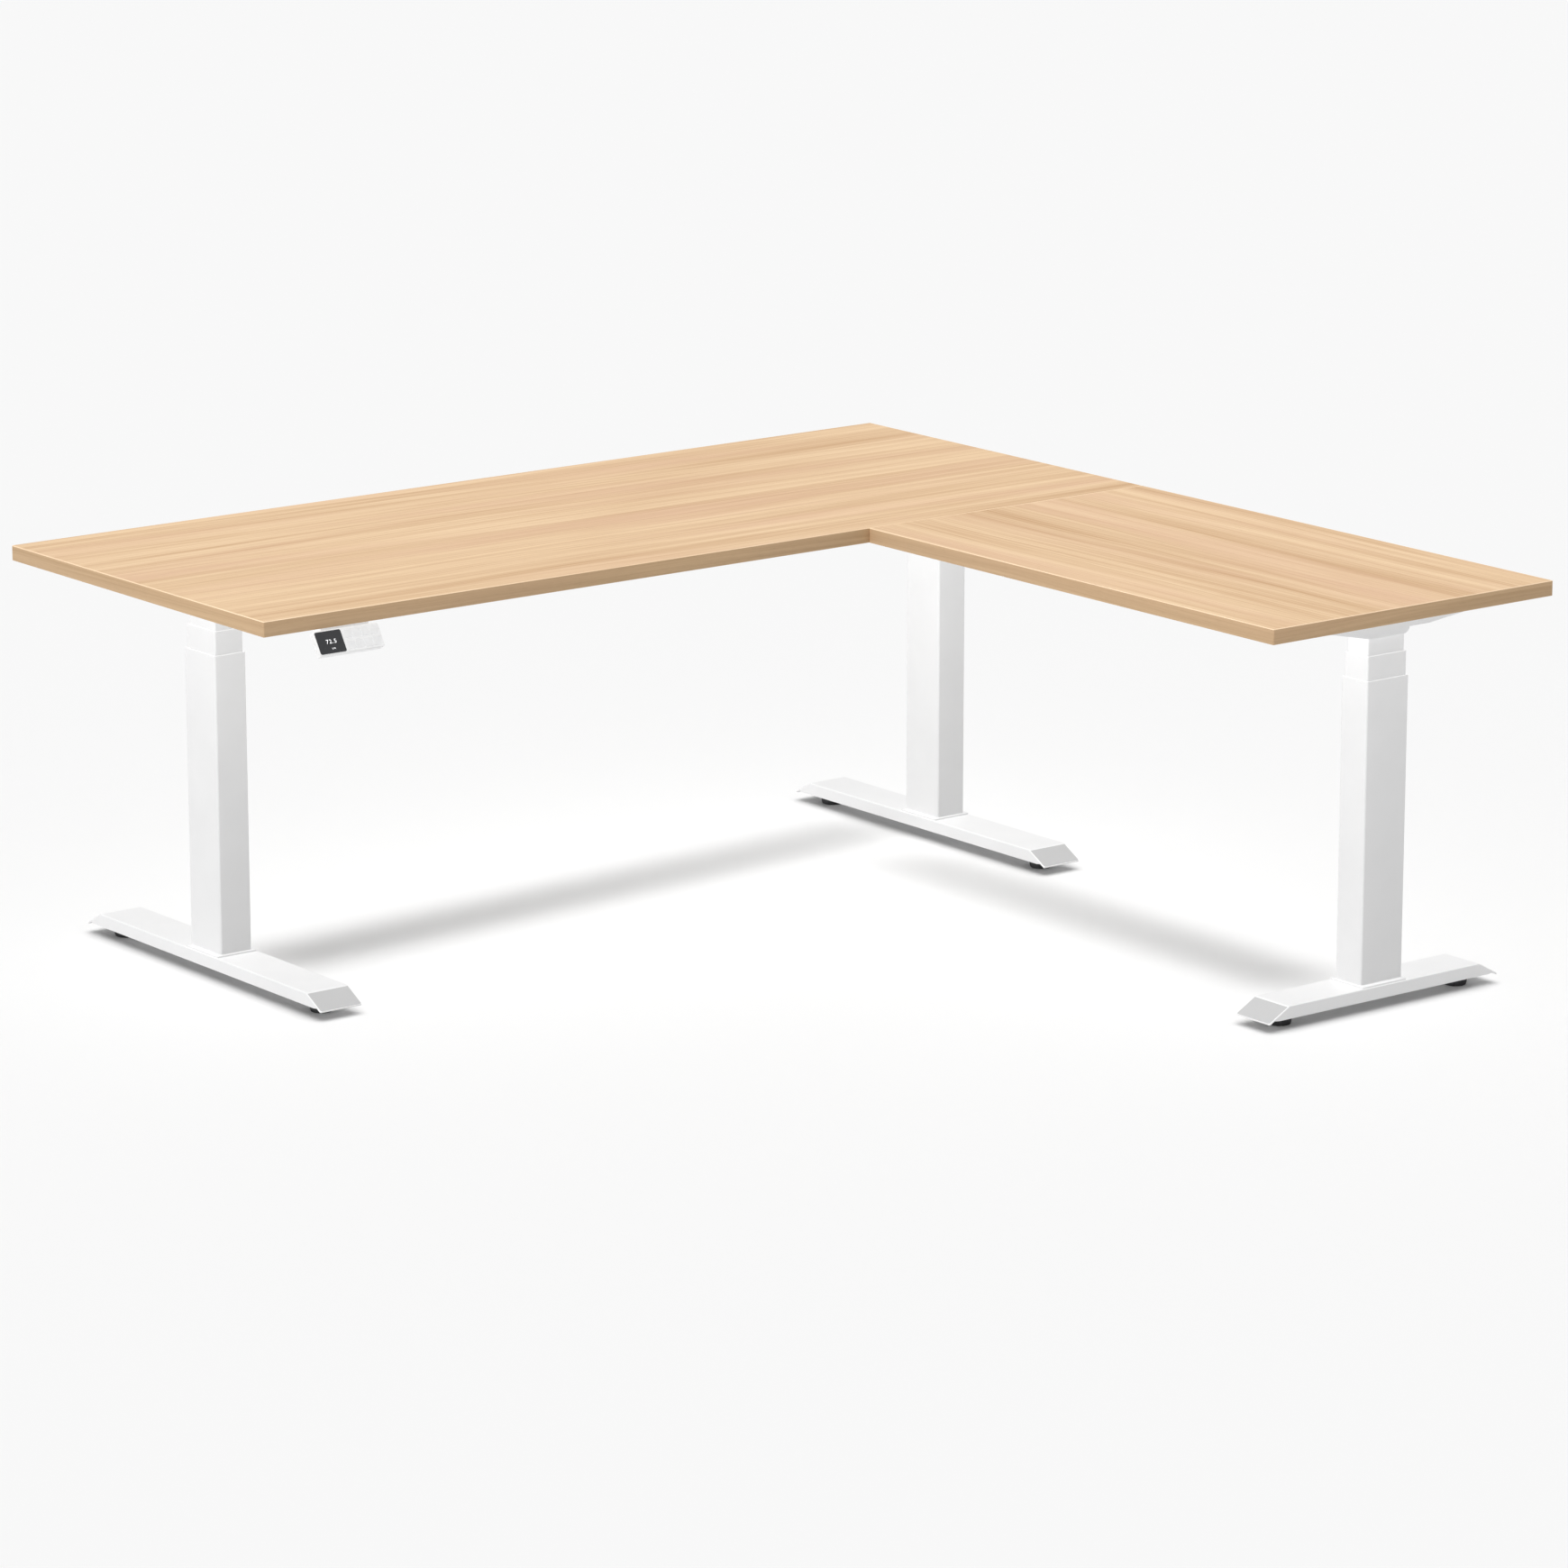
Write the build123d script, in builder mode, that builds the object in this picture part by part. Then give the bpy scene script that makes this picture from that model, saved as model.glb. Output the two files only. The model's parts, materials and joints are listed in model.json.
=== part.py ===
from build123d import *
from dataclasses import dataclass
import math
import os

# L-shaped, height adjustable standing desk.  Millimetres, +Z up, +X along the main desktop,
# +Y towards its back edge.  The origin is on the floor under the centre of the bounding box.

# Desktops
DESK_HEIGHT = 669.0
BOARD = 25.0
MAIN_LENGTH = 1800.0
MAIN_DEPTH = 750.0
RETURN_LENGTH = 1000.0
RETURN_DEPTH = 600.0
ARRIS = 1.5

# Where the legs stand, as insets from the desktop edges
MAIN_LEG_INSET = 150.0
RETURN_LEG_INSET = 89.0

# Feet: folded sheet channels with sloping end plates
MAIN_FOOT = 699.0
RETURN_FOOT = 497.0
FOOT_WIDTH = 80.0
FOOT_TOP = 39.4
FOOT_SIDE_LOW = 18.3
FOOT_LIP_LOW = 14.3
FOOT_END_RUN = 42.0
FOOT_SHEET = 2.5
FOOT_EDGE = 1.6
FOOT_BEND_RADIUS = 5.0
LIP_CORNER = 4.0
SIDE_RISE = 1.7
SIDE_RISE_RUN = 12.0

# Levelling pads, one near each end of each foot
PAD_FROM_TIP = 57.0
PAD_FLOOR_RADIUS = 18.5
PAD_RADIUS = 20.5
PAD_HEIGHT = 15.0
PAD_CHAMFER = (1.5, 2.0)
PAD_NECK = (7.0, 4.0)
STUD_RADIUS = 4.0
STUD_TOP = 33.5
WELD_NUT_RADIUS = 8.0
WELD_NUT_HEIGHT = 13.0

# Telescopic tubes, given as (along the foot, across the foot)
OUTER_TUBE = (90.0, 60.0)
STAGE_STEP = 3.0
TUBE_WALL = 1.5
TUBE_CORNER = 4.0
CORNER_STEP = 0.7
OUTER_TUBE_TOP = 540.0
MIDDLE_TUBE_TOP = 579.5
MIDDLE_TUBE_LOW = 80.0
INNER_TUBE_LOW = 108.0
BASE_PLATE = 3.0
BASE_PLATE_SIZE = (96.0, 78.0)
BASE_PLATE_CORNER = 3.0
WELD_OVERLAP = 0.5
WELD_BITE = 0.2
GLIDE_LENGTH = 38.0
GLIDE_BELOW_RIM = 0.5
SLIDING_GAP = 0.3
RUNNING_GAP = 0.05

# Telescopic spindle inside each leg
BASE_NUT_TUBE = (16.5, 13.0)
BASE_NUT_TOP = 405.0
NUT_LENGTH = 20.0
GUIDE_TUBE = (20.0, 17.5)
GUIDE_TOP = 470.0
GUIDE_BRACKET_LOW = 82.0
GUIDE_BRACKET = 4.0
HOLLOW_SPINDLE_RADIUS = 10.0
HOLLOW_SPINDLE_LOW = 70.0
COLLAR_RADIUS = 15.0
COLLAR_LOW = 440.0
COLLAR = 6.0
COLLAR_SHELF = 7.7
DRIVE_SPINDLE_RADIUS = 6.0
DRIVE_SPINDLE_LOW = 100.0
DRIVE_SPINDLE_POINT = 1.0
COUPLING_RADIUS = 10.0
COUPLING = 12.0

# Gear motor in the top of each inner tube
MOTOR_LOW = 505.0
MOTOR_RADIUS = 20.5
GEARBOX = (58.0, 40.0)
GEARBOX_HEIGHT = 34.0
GEARBOX_CORNER = 6.0
MOTOR_FLANGE = 6.0

# Leg heads, side brackets and rails under the boards
HEAD_LOW = 608.0
HEAD_WIDTH = 60.0
HEAD_SHEET = 2.5
HEAD_NOSE = -150.0
HEAD_NOSE_LOW = 632.0
HEAD_FLAT_FROM = -40.0
HEAD_HEEL = 44.0
HEAD_HEEL_RADIUS = 12.0
HEAD_SPINDLE_HOLE = 7.0
BRACKET_FACE = -49.0
BRACKET_LOW = 624.0
BRACKET_END_LOW = 640.0
BRACKET_FLAT_HALF = 70.0
BRACKET_SHEET = 2.5
MAIN_BRACKET = 560.0
RETURN_BRACKET = 430.0
RAIL_SIZE = (20.0, 28.0)
RAIL_WALL = 1.5
RAIL_OFFSET = 21.0
RAIL_LOW = 613.5
JOINT_PLATE = 3.0
JOINT_BAR = 124.0
JOINT_STEM = 50.0
JOINT_BOLT_SIDE = 45.0
JOINT_BOLT_BACK = 30.0

# Fasteners
FOOT_BOLT_RADIUS = 4.0
FOOT_BOLT_HEAD = (6.5, 5.0)
FOOT_BOLT_PLACES = (36.0, 20.0)
FRAME_BOLT_RADIUS = 3.0
FRAME_BOLT_HEAD = (5.0, 5.0)
BRACKET_BOLTS = (0.0, -60.0)
SCREW_RADIUS = 2.0
SCREW_HEAD = (4.0, 2.8)
SCREW_BITE = 16.0
SCREW_PILOT = 17.0
BRACKET_SCREW_FROM_END = 25.0
BRACKET_SCREW_FROM_MIDDLE = 110.0

# Plates that join the two boards
JOINING_PLATE = (50.0, 120.0, 3.0)
JOINING_PLATE_X = (350.0, 470.0, 730.0, 850.0)
JOINING_SCREW = (15.0, 45.0)
JOINING_CORNER = 5.0

# Keypad under the front edge of the main board
KEYPAD_LEFT = -809.0
KEYPAD_SIZE = (122.0, 41.0)
KEYPAD_THICKNESS = 11.0
KEYPAD_TILT = 58.0
KEYPAD_TOP_GAP = 3.4
KEYPAD_CORNER = 4.0
KEYPAD_EDGE = 1.0
KEYPAD_PROUD = 0.8
KEYPAD_SCREWS = (30.0, 38.0)
DISPLAY_SIZE = (48.8, 37.6)
DISPLAY_THICKNESS = 1.5
DISPLAY_CORNER = 3.0
DISPLAY_INSET = 2.0
BUTTON_SIZE = (15.3, 14.0)
BUTTON_PITCH = (16.2, 19.0)
BUTTON_FIRST_X = 1.6
BUTTON_THICKNESS = 2.2
BUTTON_PROUD = 0.3
BUTTON_CORNER = 1.2
BUTTON_GAP = 0.35
BUTTON_EDGE = 0.25
POCKET_DEPTH = 3.2
PORT_SIZE = (8.4, 2.8, 5.0)
PORT_PLACE = (-2.5, -6.3)
PORT_CORNER = 1.2
NECK_WIDTH = 90.0
NECK_FLANGE = 3.5
NECK_FRONT = (2.0, 6.0)
NECK_BACK = 50.0
NECK_WEDGE_BACK = 27.0
NECK_WEDGE_FRONT = (10.0, 36.0)

# Control box on the underside of the main board
BOX_SIZE = (240.0, 95.0, 34.0)
BOX_CENTRE = (-360.0, 607.0)
BOX_WALL = 2.5
BOX_CORNER = 6.0
BOX_EDGE = 2.0
EAR_SIZE = (14.0, 24.0, 3.0)
EAR_REACH = 30.0
INLET_SIZE = (22.0, 28.0, 20.0)
INLET_Z = 625.0
INLET_FLANGE = (3.0, 2.0)
INLET_CORNER = 3.0
INLET_WALL = 2.0
INLET_FLOOR = -14.0
INLET_PIN = (2.0, 4.0, 13.0)
INLET_PINS = ((-7.0, -2.0), (7.0, -2.0), (0.0, 2.0))

UNDERSIDE = DESK_HEIGHT - BOARD
MAIN_FRONT_Y = (RETURN_LENGTH - MAIN_DEPTH) / 2
MAIN_CENTRE_Y = MAIN_FRONT_Y + MAIN_DEPTH / 2
RETURN_CENTRE_X = (MAIN_LENGTH - RETURN_DEPTH) / 2
RETURN_CENTRE_Y = MAIN_FRONT_Y - RETURN_LENGTH / 2
MAIN_LEG_X = MAIN_LENGTH / 2 - MAIN_LEG_INSET
RETURN_LEG_Y = MAIN_FRONT_Y - RETURN_LENGTH + RETURN_LEG_INSET
MIDDLE_TUBE = (OUTER_TUBE[0] - 2 * STAGE_STEP, OUTER_TUBE[1] - 2 * STAGE_STEP)
INNER_TUBE = (MIDDLE_TUBE[0] - 2 * STAGE_STEP, MIDDLE_TUBE[1] - 2 * STAGE_STEP)
BASE_PLATE_TOP = FOOT_TOP + BASE_PLATE
BRACKET_BOLT_Z = (HEAD_LOW + UNDERSIDE) / 2 + 2
RAIL_MIDDLE = RAIL_LOW + RAIL_SIZE[1] / 2


@dataclass
class Leg:
    """One leg: local X runs along its foot, local -Y faces its outer side bracket."""

    name: str
    x: float
    y: float
    along: tuple
    foot_length: float
    bracket_length: float
    pad_names: tuple

    @property
    def floor(self):
        """The leg's local plane at floor level."""
        return Plane(origin=(self.x, self.y, 0), x_dir=self.along, z_dir=(0, 0, 1))

    @property
    def side(self):
        """Upright plane through the leg: local X along the foot, local Y up."""
        across = self.floor.y_dir
        return Plane(origin=(self.x, self.y, 0), x_dir=self.along, z_dir=-across)

    def at(self, z):
        """The leg's local plane at height z."""
        return self.floor.offset(z)

    def point(self, u, v, z):
        """A local place as a world vector."""
        return self.floor.from_local_coords(Vector(u, v, z))


LEGS = (
    Leg("left", -MAIN_LEG_X, MAIN_CENTRE_Y, (0, -1, 0), MAIN_FOOT, MAIN_BRACKET, ("rear", "front")),
    Leg("corner", MAIN_LEG_X, MAIN_CENTRE_Y, (0, 1, 0), MAIN_FOOT, MAIN_BRACKET, ("front", "rear")),
    Leg("return", RETURN_CENTRE_X, RETURN_LEG_Y, (1, 0, 0), RETURN_FOOT, RETURN_BRACKET, ("left", "right")),
)


def write(piece, name):
    """Label a finished piece and write its STEP file."""
    piece.part.label = name
    export_step(piece.part, f"parts/{name}.step")


def tube_section(plane, size, wall, corner):
    """A rounded rectangular tube's section, of that outer size, on the plane."""
    with BuildSketch(plane) as section:
        RectangleRounded(size[0], size[1], corner)
        RectangleRounded(size[0] - 2 * wall, size[1] - 2 * wall, corner - wall, mode=Mode.SUBTRACT)
    return section.sketch


def ring_section(plane, outer, inner):
    """A round tube's section, of those two radii, on the plane."""
    with BuildSketch(plane) as section:
        Circle(outer)
        Circle(inner, mode=Mode.SUBTRACT)
    return section.sketch


def edges_on(piece, plane):
    """The edges of a piece that lie in a plane."""
    return piece.edges().filter_by(lambda e: abs(plane.to_local_coords(e.center()).Z) < 0.01)


def bracket_bolt_places():
    """Places, on a leg's side plane, of the bolts that hold its side bracket on its head."""
    return [(u, BRACKET_BOLT_Z) for u in BRACKET_BOLTS]


def bracket_screw_places(leg):
    """World places, on the underside of the boards, of one side bracket's screws."""
    end = leg.bracket_length / 2 - BRACKET_SCREW_FROM_END
    middle_v = (BRACKET_FACE - HEAD_WIDTH / 2) / 2
    inner = BRACKET_SCREW_FROM_MIDDLE
    return [leg.point(u, middle_v, UNDERSIDE) for u in (-end, -inner, inner, end)]


def joining_screw_places():
    """World places, on the underside of the boards, of the joining plates' screws."""
    return [
        Vector(x + side * JOINING_SCREW[0], MAIN_FRONT_Y + reach * JOINING_SCREW[1], UNDERSIDE)
        for x in JOINING_PLATE_X
        for side in (-1, 1)
        for reach in (-1, 1)
    ]


def box_screw_places():
    """World places, on the underside of the main board, of the control box's screws."""
    reach = BOX_SIZE[0] / 2 + EAR_SIZE[0] / 2
    return [
        Vector(BOX_CENTRE[0] + end * reach, BOX_CENTRE[1] + side * EAR_REACH, UNDERSIDE)
        for end in (-1, 1)
        for side in (-1, 1)
    ]


def keypad_screw_places():
    """World places, on the underside of the main board, of the keypad's screws."""
    middle = KEYPAD_LEFT + KEYPAD_SIZE[0] / 2
    apart, back = KEYPAD_SCREWS
    return [Vector(middle + side * apart, MAIN_FRONT_Y + back, UNDERSIDE) for side in (-1, 1)]


def screw_places():
    """Every wood screw, as its place on the underside and the thickness that it clamps."""
    places = [(p, BRACKET_SHEET) for leg in LEGS for p in bracket_screw_places(leg)]
    places += [(p, JOINING_PLATE[2]) for p in joining_screw_places()]
    places += [(p, EAR_SIZE[2]) for p in box_screw_places()]
    places += [(p, NECK_FLANGE) for p in keypad_screw_places()]
    return places


def make_board(name, length_x, depth_y, centre):
    """A laminated board with eased edges and blind pilot holes in its underside."""
    low_x, high_x = centre[0] - length_x / 2, centre[0] + length_x / 2
    low_y, high_y = centre[1] - depth_y / 2, centre[1] + depth_y / 2
    pilots = [p for p, _ in screw_places() if low_x < p.X < high_x and low_y < p.Y < high_y]
    with BuildPart() as board:
        with BuildSketch(Plane.XY.offset(UNDERSIDE)):
            with Locations(centre):
                Rectangle(length_x, depth_y)
        extrude(amount=BOARD)
        fillet(board.edges().group_by(Axis.Z)[-1], radius=ARRIS)
        chamfer(board.edges().group_by(Axis.Z)[0], length=ARRIS / 2)
        with BuildSketch(Plane.XY.offset(UNDERSIDE)):
            with Locations(*[(p.X, p.Y) for p in pilots]):
                Circle(SCREW_RADIUS)
        extrude(amount=SCREW_PILOT, mode=Mode.SUBTRACT)
    write(board, name)


def make_foot(leg):
    """A folded sheet channel, open below, with sloping end plates and two weld nuts."""
    tip = leg.foot_length / 2
    bend = tip - FOOT_END_RUN
    half_width = FOOT_WIDTH / 2
    drop = FOOT_TOP - FOOT_LIP_LOW
    slope = math.atan2(drop - FOOT_SHEET, FOOT_END_RUN)
    tip_z = FOOT_LIP_LOW + FOOT_SHEET * math.cos(slope)
    inner_tip = (tip - FOOT_SHEET * math.sin(slope), FOOT_LIP_LOW)
    inner_bend = (bend - FOOT_SHEET * math.tan(slope / 2), FOOT_TOP - FOOT_SHEET)
    side_top = FOOT_TOP - FOOT_EDGE
    side_end = bend + (side_top - FOOT_SIDE_LOW - SIDE_RISE) / math.tan(slope)
    side_straight = side_end - SIDE_RISE_RUN
    pad_u = tip - PAD_FROM_TIP
    with BuildPart() as foot:
        with BuildSketch(leg.side):
            with BuildLine():
                Polyline(
                    (-tip, tip_z),
                    (-bend, FOOT_TOP),
                    (bend, FOOT_TOP),
                    (tip, tip_z),
                    inner_tip,
                    inner_bend,
                    (-inner_bend[0], inner_bend[1]),
                    (-inner_tip[0], inner_tip[1]),
                    close=True,
                )
            make_face()
        extrude(amount=half_width, both=True)
        across = foot.edges().filter_by(lambda e: abs(e.length - FOOT_WIDTH) < 0.01)
        fillet(across.group_by(Axis.Z)[-1], radius=FOOT_BEND_RADIUS)
        with BuildSketch(leg.floor):
            RectangleRounded(leg.foot_length, FOOT_WIDTH, LIP_CORNER)
        extrude(amount=FOOT_TOP, mode=Mode.INTERSECT)
        rims = foot.edges().filter_by(lambda e: abs(e.center().Z - FOOT_TOP) < 0.01 and e.length > bend)
        fillet(rims, radius=FOOT_EDGE)
        for near in (half_width - FOOT_SHEET, -half_width):
            with BuildSketch(leg.side.offset(near)):
                with BuildLine():
                    Polyline(
                        (-bend, side_top),
                        (bend, side_top),
                        (side_end, FOOT_SIDE_LOW + SIDE_RISE),
                        (side_straight, FOOT_SIDE_LOW),
                        (-side_straight, FOOT_SIDE_LOW),
                        (-side_end, FOOT_SIDE_LOW + SIDE_RISE),
                        close=True,
                    )
                make_face()
            extrude(amount=FOOT_SHEET)
        with BuildSketch(leg.at(FOOT_TOP - FOOT_SHEET - WELD_NUT_HEIGHT)):
            with Locations((-pad_u, 0), (pad_u, 0)):
                Circle(WELD_NUT_RADIUS)
                Circle(STUD_RADIUS + RUNNING_GAP, mode=Mode.SUBTRACT)
        extrude(amount=WELD_NUT_HEIGHT)
        with BuildSketch(leg.at(FOOT_TOP - FOOT_SHEET)):
            with GridLocations(2 * FOOT_BOLT_PLACES[0], 2 * FOOT_BOLT_PLACES[1], 2, 2):
                Circle(FOOT_BOLT_RADIUS)
        extrude(amount=FOOT_SHEET, mode=Mode.SUBTRACT)
    write(foot, f"{leg.name}_foot")


def make_pad(leg, end, name):
    """A levelling pad: a tapered disc on a threaded stud that screws into the foot."""
    chamfer_out, chamfer_down = PAD_CHAMFER
    neck_radius, neck_height = PAD_NECK
    centre = end * (leg.foot_length / 2 - PAD_FROM_TIP)
    with BuildPart() as pad:
        with BuildSketch(leg.side):
            with BuildLine():
                Polyline(
                    (centre, 0),
                    (centre + PAD_FLOOR_RADIUS, 0),
                    (centre + PAD_RADIUS, PAD_HEIGHT - chamfer_down),
                    (centre + PAD_RADIUS - chamfer_out, PAD_HEIGHT),
                    (centre + neck_radius, PAD_HEIGHT),
                    (centre + neck_radius, PAD_HEIGHT + neck_height),
                    (centre + STUD_RADIUS, PAD_HEIGHT + neck_height),
                    (centre + STUD_RADIUS, STUD_TOP),
                    (centre, STUD_TOP),
                    close=True,
                )
            make_face()
        revolve(axis=Axis(leg.point(centre, 0, 0), (0, 0, 1)))
    write(pad, f"{leg.name}_{name}_pad")


def make_foot_bolts(leg):
    """Four hexagon bolts that hold the column's base plate on the foot, from below."""
    head_radius, head_height = FOOT_BOLT_HEAD
    with BuildPart() as bolts:
        with BuildSketch(leg.at(FOOT_TOP - FOOT_SHEET - head_height)):
            with GridLocations(2 * FOOT_BOLT_PLACES[0], 2 * FOOT_BOLT_PLACES[1], 2, 2):
                RegularPolygon(head_radius, 6)
        extrude(amount=head_height)
        with BuildSketch(leg.at(FOOT_TOP - FOOT_SHEET)):
            with GridLocations(2 * FOOT_BOLT_PLACES[0], 2 * FOOT_BOLT_PLACES[1], 2, 2):
                Circle(FOOT_BOLT_RADIUS)
        extrude(amount=FOOT_SHEET + BASE_PLATE)
    write(bolts, f"{leg.name}_foot_bolts")


def make_outer_tube(leg):
    """The fixed column tube, welded to its base plate with the lower spindle nut inside it."""
    with BuildPart() as tube:
        with BuildSketch(leg.at(FOOT_TOP)):
            RectangleRounded(*BASE_PLATE_SIZE, BASE_PLATE_CORNER)
            with GridLocations(2 * FOOT_BOLT_PLACES[0], 2 * FOOT_BOLT_PLACES[1], 2, 2):
                Circle(FOOT_BOLT_RADIUS, mode=Mode.SUBTRACT)
        extrude(amount=BASE_PLATE)
        walls = tube_section(leg.at(BASE_PLATE_TOP), OUTER_TUBE, TUBE_WALL, TUBE_CORNER)
        extrude(walls, amount=OUTER_TUBE_TOP - BASE_PLATE_TOP)
        nut_tube = ring_section(leg.at(BASE_PLATE_TOP), *BASE_NUT_TUBE)
        extrude(nut_tube, amount=BASE_NUT_TOP - BASE_PLATE_TOP)
        nut_bore = HOLLOW_SPINDLE_RADIUS + RUNNING_GAP
        nut = ring_section(leg.at(BASE_NUT_TOP - NUT_LENGTH), BASE_NUT_TUBE[1] + WELD_OVERLAP, nut_bore)
        extrude(nut, amount=NUT_LENGTH)
    write(tube, f"{leg.name}_outer_tube")


def make_middle_tube(leg):
    """The middle tube with the spindle guide tube that is welded into its foot."""
    corner = TUBE_CORNER - CORNER_STEP
    wall = TUBE_WALL - WELD_BITE
    inside = (MIDDLE_TUBE[0] - 2 * wall, MIDDLE_TUBE[1] - 2 * wall)
    weld_radius = GUIDE_TUBE[1] + WELD_OVERLAP
    with BuildPart() as tube:
        walls = tube_section(leg.at(MIDDLE_TUBE_LOW), MIDDLE_TUBE, TUBE_WALL, corner)
        extrude(walls, amount=MIDDLE_TUBE_TOP - MIDDLE_TUBE_LOW)
        with BuildSketch(leg.at(GUIDE_BRACKET_LOW)):
            RectangleRounded(*inside, corner - TUBE_WALL)
            Circle(GUIDE_TUBE[1], mode=Mode.SUBTRACT)
        extrude(amount=GUIDE_BRACKET)
        extrude(ring_section(leg.at(GUIDE_BRACKET_LOW), *GUIDE_TUBE), amount=GUIDE_TOP - GUIDE_BRACKET_LOW)
        shelf_low = COLLAR_LOW - SLIDING_GAP - COLLAR_SHELF
        shelf = ring_section(leg.at(shelf_low), weld_radius, HOLLOW_SPINDLE_RADIUS + SLIDING_GAP)
        extrude(shelf, amount=COLLAR_SHELF)
        nut_low = COLLAR_LOW + COLLAR + SLIDING_GAP
        nut = ring_section(leg.at(nut_low), weld_radius, DRIVE_SPINDLE_RADIUS + RUNNING_GAP)
        extrude(nut, amount=GUIDE_TOP - nut_low)
    write(tube, f"{leg.name}_middle_tube")


def make_inner_tube(leg):
    """The upper tube, welded under the leg head."""
    with BuildPart() as tube:
        walls = tube_section(leg.at(INNER_TUBE_LOW), INNER_TUBE, TUBE_WALL, TUBE_CORNER - 2 * CORNER_STEP)
        extrude(walls, amount=HEAD_LOW - INNER_TUBE_LOW)
    write(tube, f"{leg.name}_inner_tube")


def make_glides(leg, name, tube, rim, corner):
    """A plastic glide ring inside a tube's rim, a sliding gap away from the next tube."""
    outside = (tube[0] - 2 * TUBE_WALL, tube[1] - 2 * TUBE_WALL)
    wall = STAGE_STEP - TUBE_WALL - SLIDING_GAP
    with BuildPart() as glides:
        low = rim - GLIDE_BELOW_RIM - GLIDE_LENGTH
        extrude(tube_section(leg.at(low), outside, wall, corner), amount=GLIDE_LENGTH)
    write(glides, f"{leg.name}_{name}_glides")


def make_drive_spindle(leg):
    """The solid spindle that hangs from the gear motor and turns in the guide tube's nut."""
    with BuildPart() as spindle:
        with BuildSketch(leg.at(DRIVE_SPINDLE_LOW)):
            Circle(DRIVE_SPINDLE_RADIUS)
        extrude(amount=MOTOR_LOW - SLIDING_GAP - DRIVE_SPINDLE_LOW)
        chamfer(spindle.edges().group_by(Axis.Z)[0], length=DRIVE_SPINDLE_POINT)
        with BuildSketch(leg.at(MOTOR_LOW - COUPLING)):
            Circle(COUPLING_RADIUS)
        extrude(amount=COUPLING - SLIDING_GAP)
    write(spindle, f"{leg.name}_drive_spindle")


def make_hollow_spindle(leg):
    """The hollow spindle, keyed to the drive spindle, that turns in the base nut."""
    with BuildPart() as spindle:
        bore = DRIVE_SPINDLE_RADIUS + RUNNING_GAP
        barrel = ring_section(leg.at(HOLLOW_SPINDLE_LOW), HOLLOW_SPINDLE_RADIUS, bore)
        extrude(barrel, amount=COLLAR_LOW - HOLLOW_SPINDLE_LOW)
        extrude(ring_section(leg.at(COLLAR_LOW), COLLAR_RADIUS, bore), amount=COLLAR)
    write(spindle, f"{leg.name}_hollow_spindle")


def make_gear_motor(leg):
    """The tubular gear motor: gearbox below, motor above, and a flange under the leg head."""
    flange = (INNER_TUBE[0] - 2 * TUBE_WALL, INNER_TUBE[1] - 2 * TUBE_WALL)
    with BuildPart() as motor:
        with BuildSketch(leg.at(MOTOR_LOW)):
            RectangleRounded(*GEARBOX, GEARBOX_CORNER)
        extrude(amount=GEARBOX_HEIGHT)
        with BuildSketch(leg.at(MOTOR_LOW + GEARBOX_HEIGHT)):
            Circle(MOTOR_RADIUS)
        extrude(amount=HEAD_LOW - MOTOR_LOW - GEARBOX_HEIGHT)
        with BuildSketch(leg.at(HEAD_LOW - MOTOR_FLANGE)):
            RectangleRounded(*flange, TUBE_CORNER - 2 * CORNER_STEP - TUBE_WALL)
        extrude(amount=MOTOR_FLANGE)
    write(motor, f"{leg.name}_gear_motor")


def head_outline(inset):
    """Side outline of a leg head, moved inwards by inset: a long sloping nose and a round heel."""
    rise = (HEAD_NOSE_LOW - HEAD_LOW) / (HEAD_FLAT_FROM - HEAD_NOSE)
    lift = inset * math.hypot(1, rise)
    nose_u = HEAD_NOSE + inset
    nose_z = HEAD_NOSE_LOW + lift - inset * rise
    flat_u = HEAD_FLAT_FROM + (lift - inset) / rise
    heel = HEAD_HEEL_RADIUS - inset
    heel_u = HEAD_HEEL - inset
    low = HEAD_LOW + inset
    slanted = Polyline((heel_u, UNDERSIDE), (nose_u, UNDERSIDE), (nose_u, nose_z), (flat_u, low))
    bottom = Line(slanted @ 1, (heel_u - heel, low))
    corner = RadiusArc(bottom @ 1, (heel_u, low + heel), -heel)
    Line(corner @ 1, (heel_u, UNDERSIDE))


def make_leg_head(leg):
    """The sheet steel head on top of a leg, slotted for the rails and drilled for its bracket."""
    with BuildPart() as head:
        with BuildSketch(leg.side):
            with BuildLine():
                head_outline(0)
            make_face()
        extrude(amount=HEAD_WIDTH / 2, both=True)
        with BuildSketch(leg.side):
            with BuildLine():
                head_outline(HEAD_SHEET)
            make_face()
        extrude(amount=HEAD_WIDTH / 2 - HEAD_SHEET, both=True, mode=Mode.SUBTRACT)
        with BuildSketch(leg.side.offset(-HEAD_WIDTH / 2)):
            with Locations((-RAIL_OFFSET, RAIL_MIDDLE), (RAIL_OFFSET, RAIL_MIDDLE)):
                Rectangle(*RAIL_SIZE)
        extrude(amount=HEAD_SHEET, mode=Mode.SUBTRACT)
        with BuildSketch(leg.side.offset(HEAD_WIDTH / 2)):
            with Locations(*bracket_bolt_places()):
                Circle(FRAME_BOLT_RADIUS)
        extrude(amount=-HEAD_SHEET, mode=Mode.SUBTRACT)
        with BuildSketch(leg.at(HEAD_LOW)):
            Circle(HEAD_SPINDLE_HOLE)
        extrude(amount=HEAD_SHEET, mode=Mode.SUBTRACT)
    write(head, f"{leg.name}_leg_head")


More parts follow.
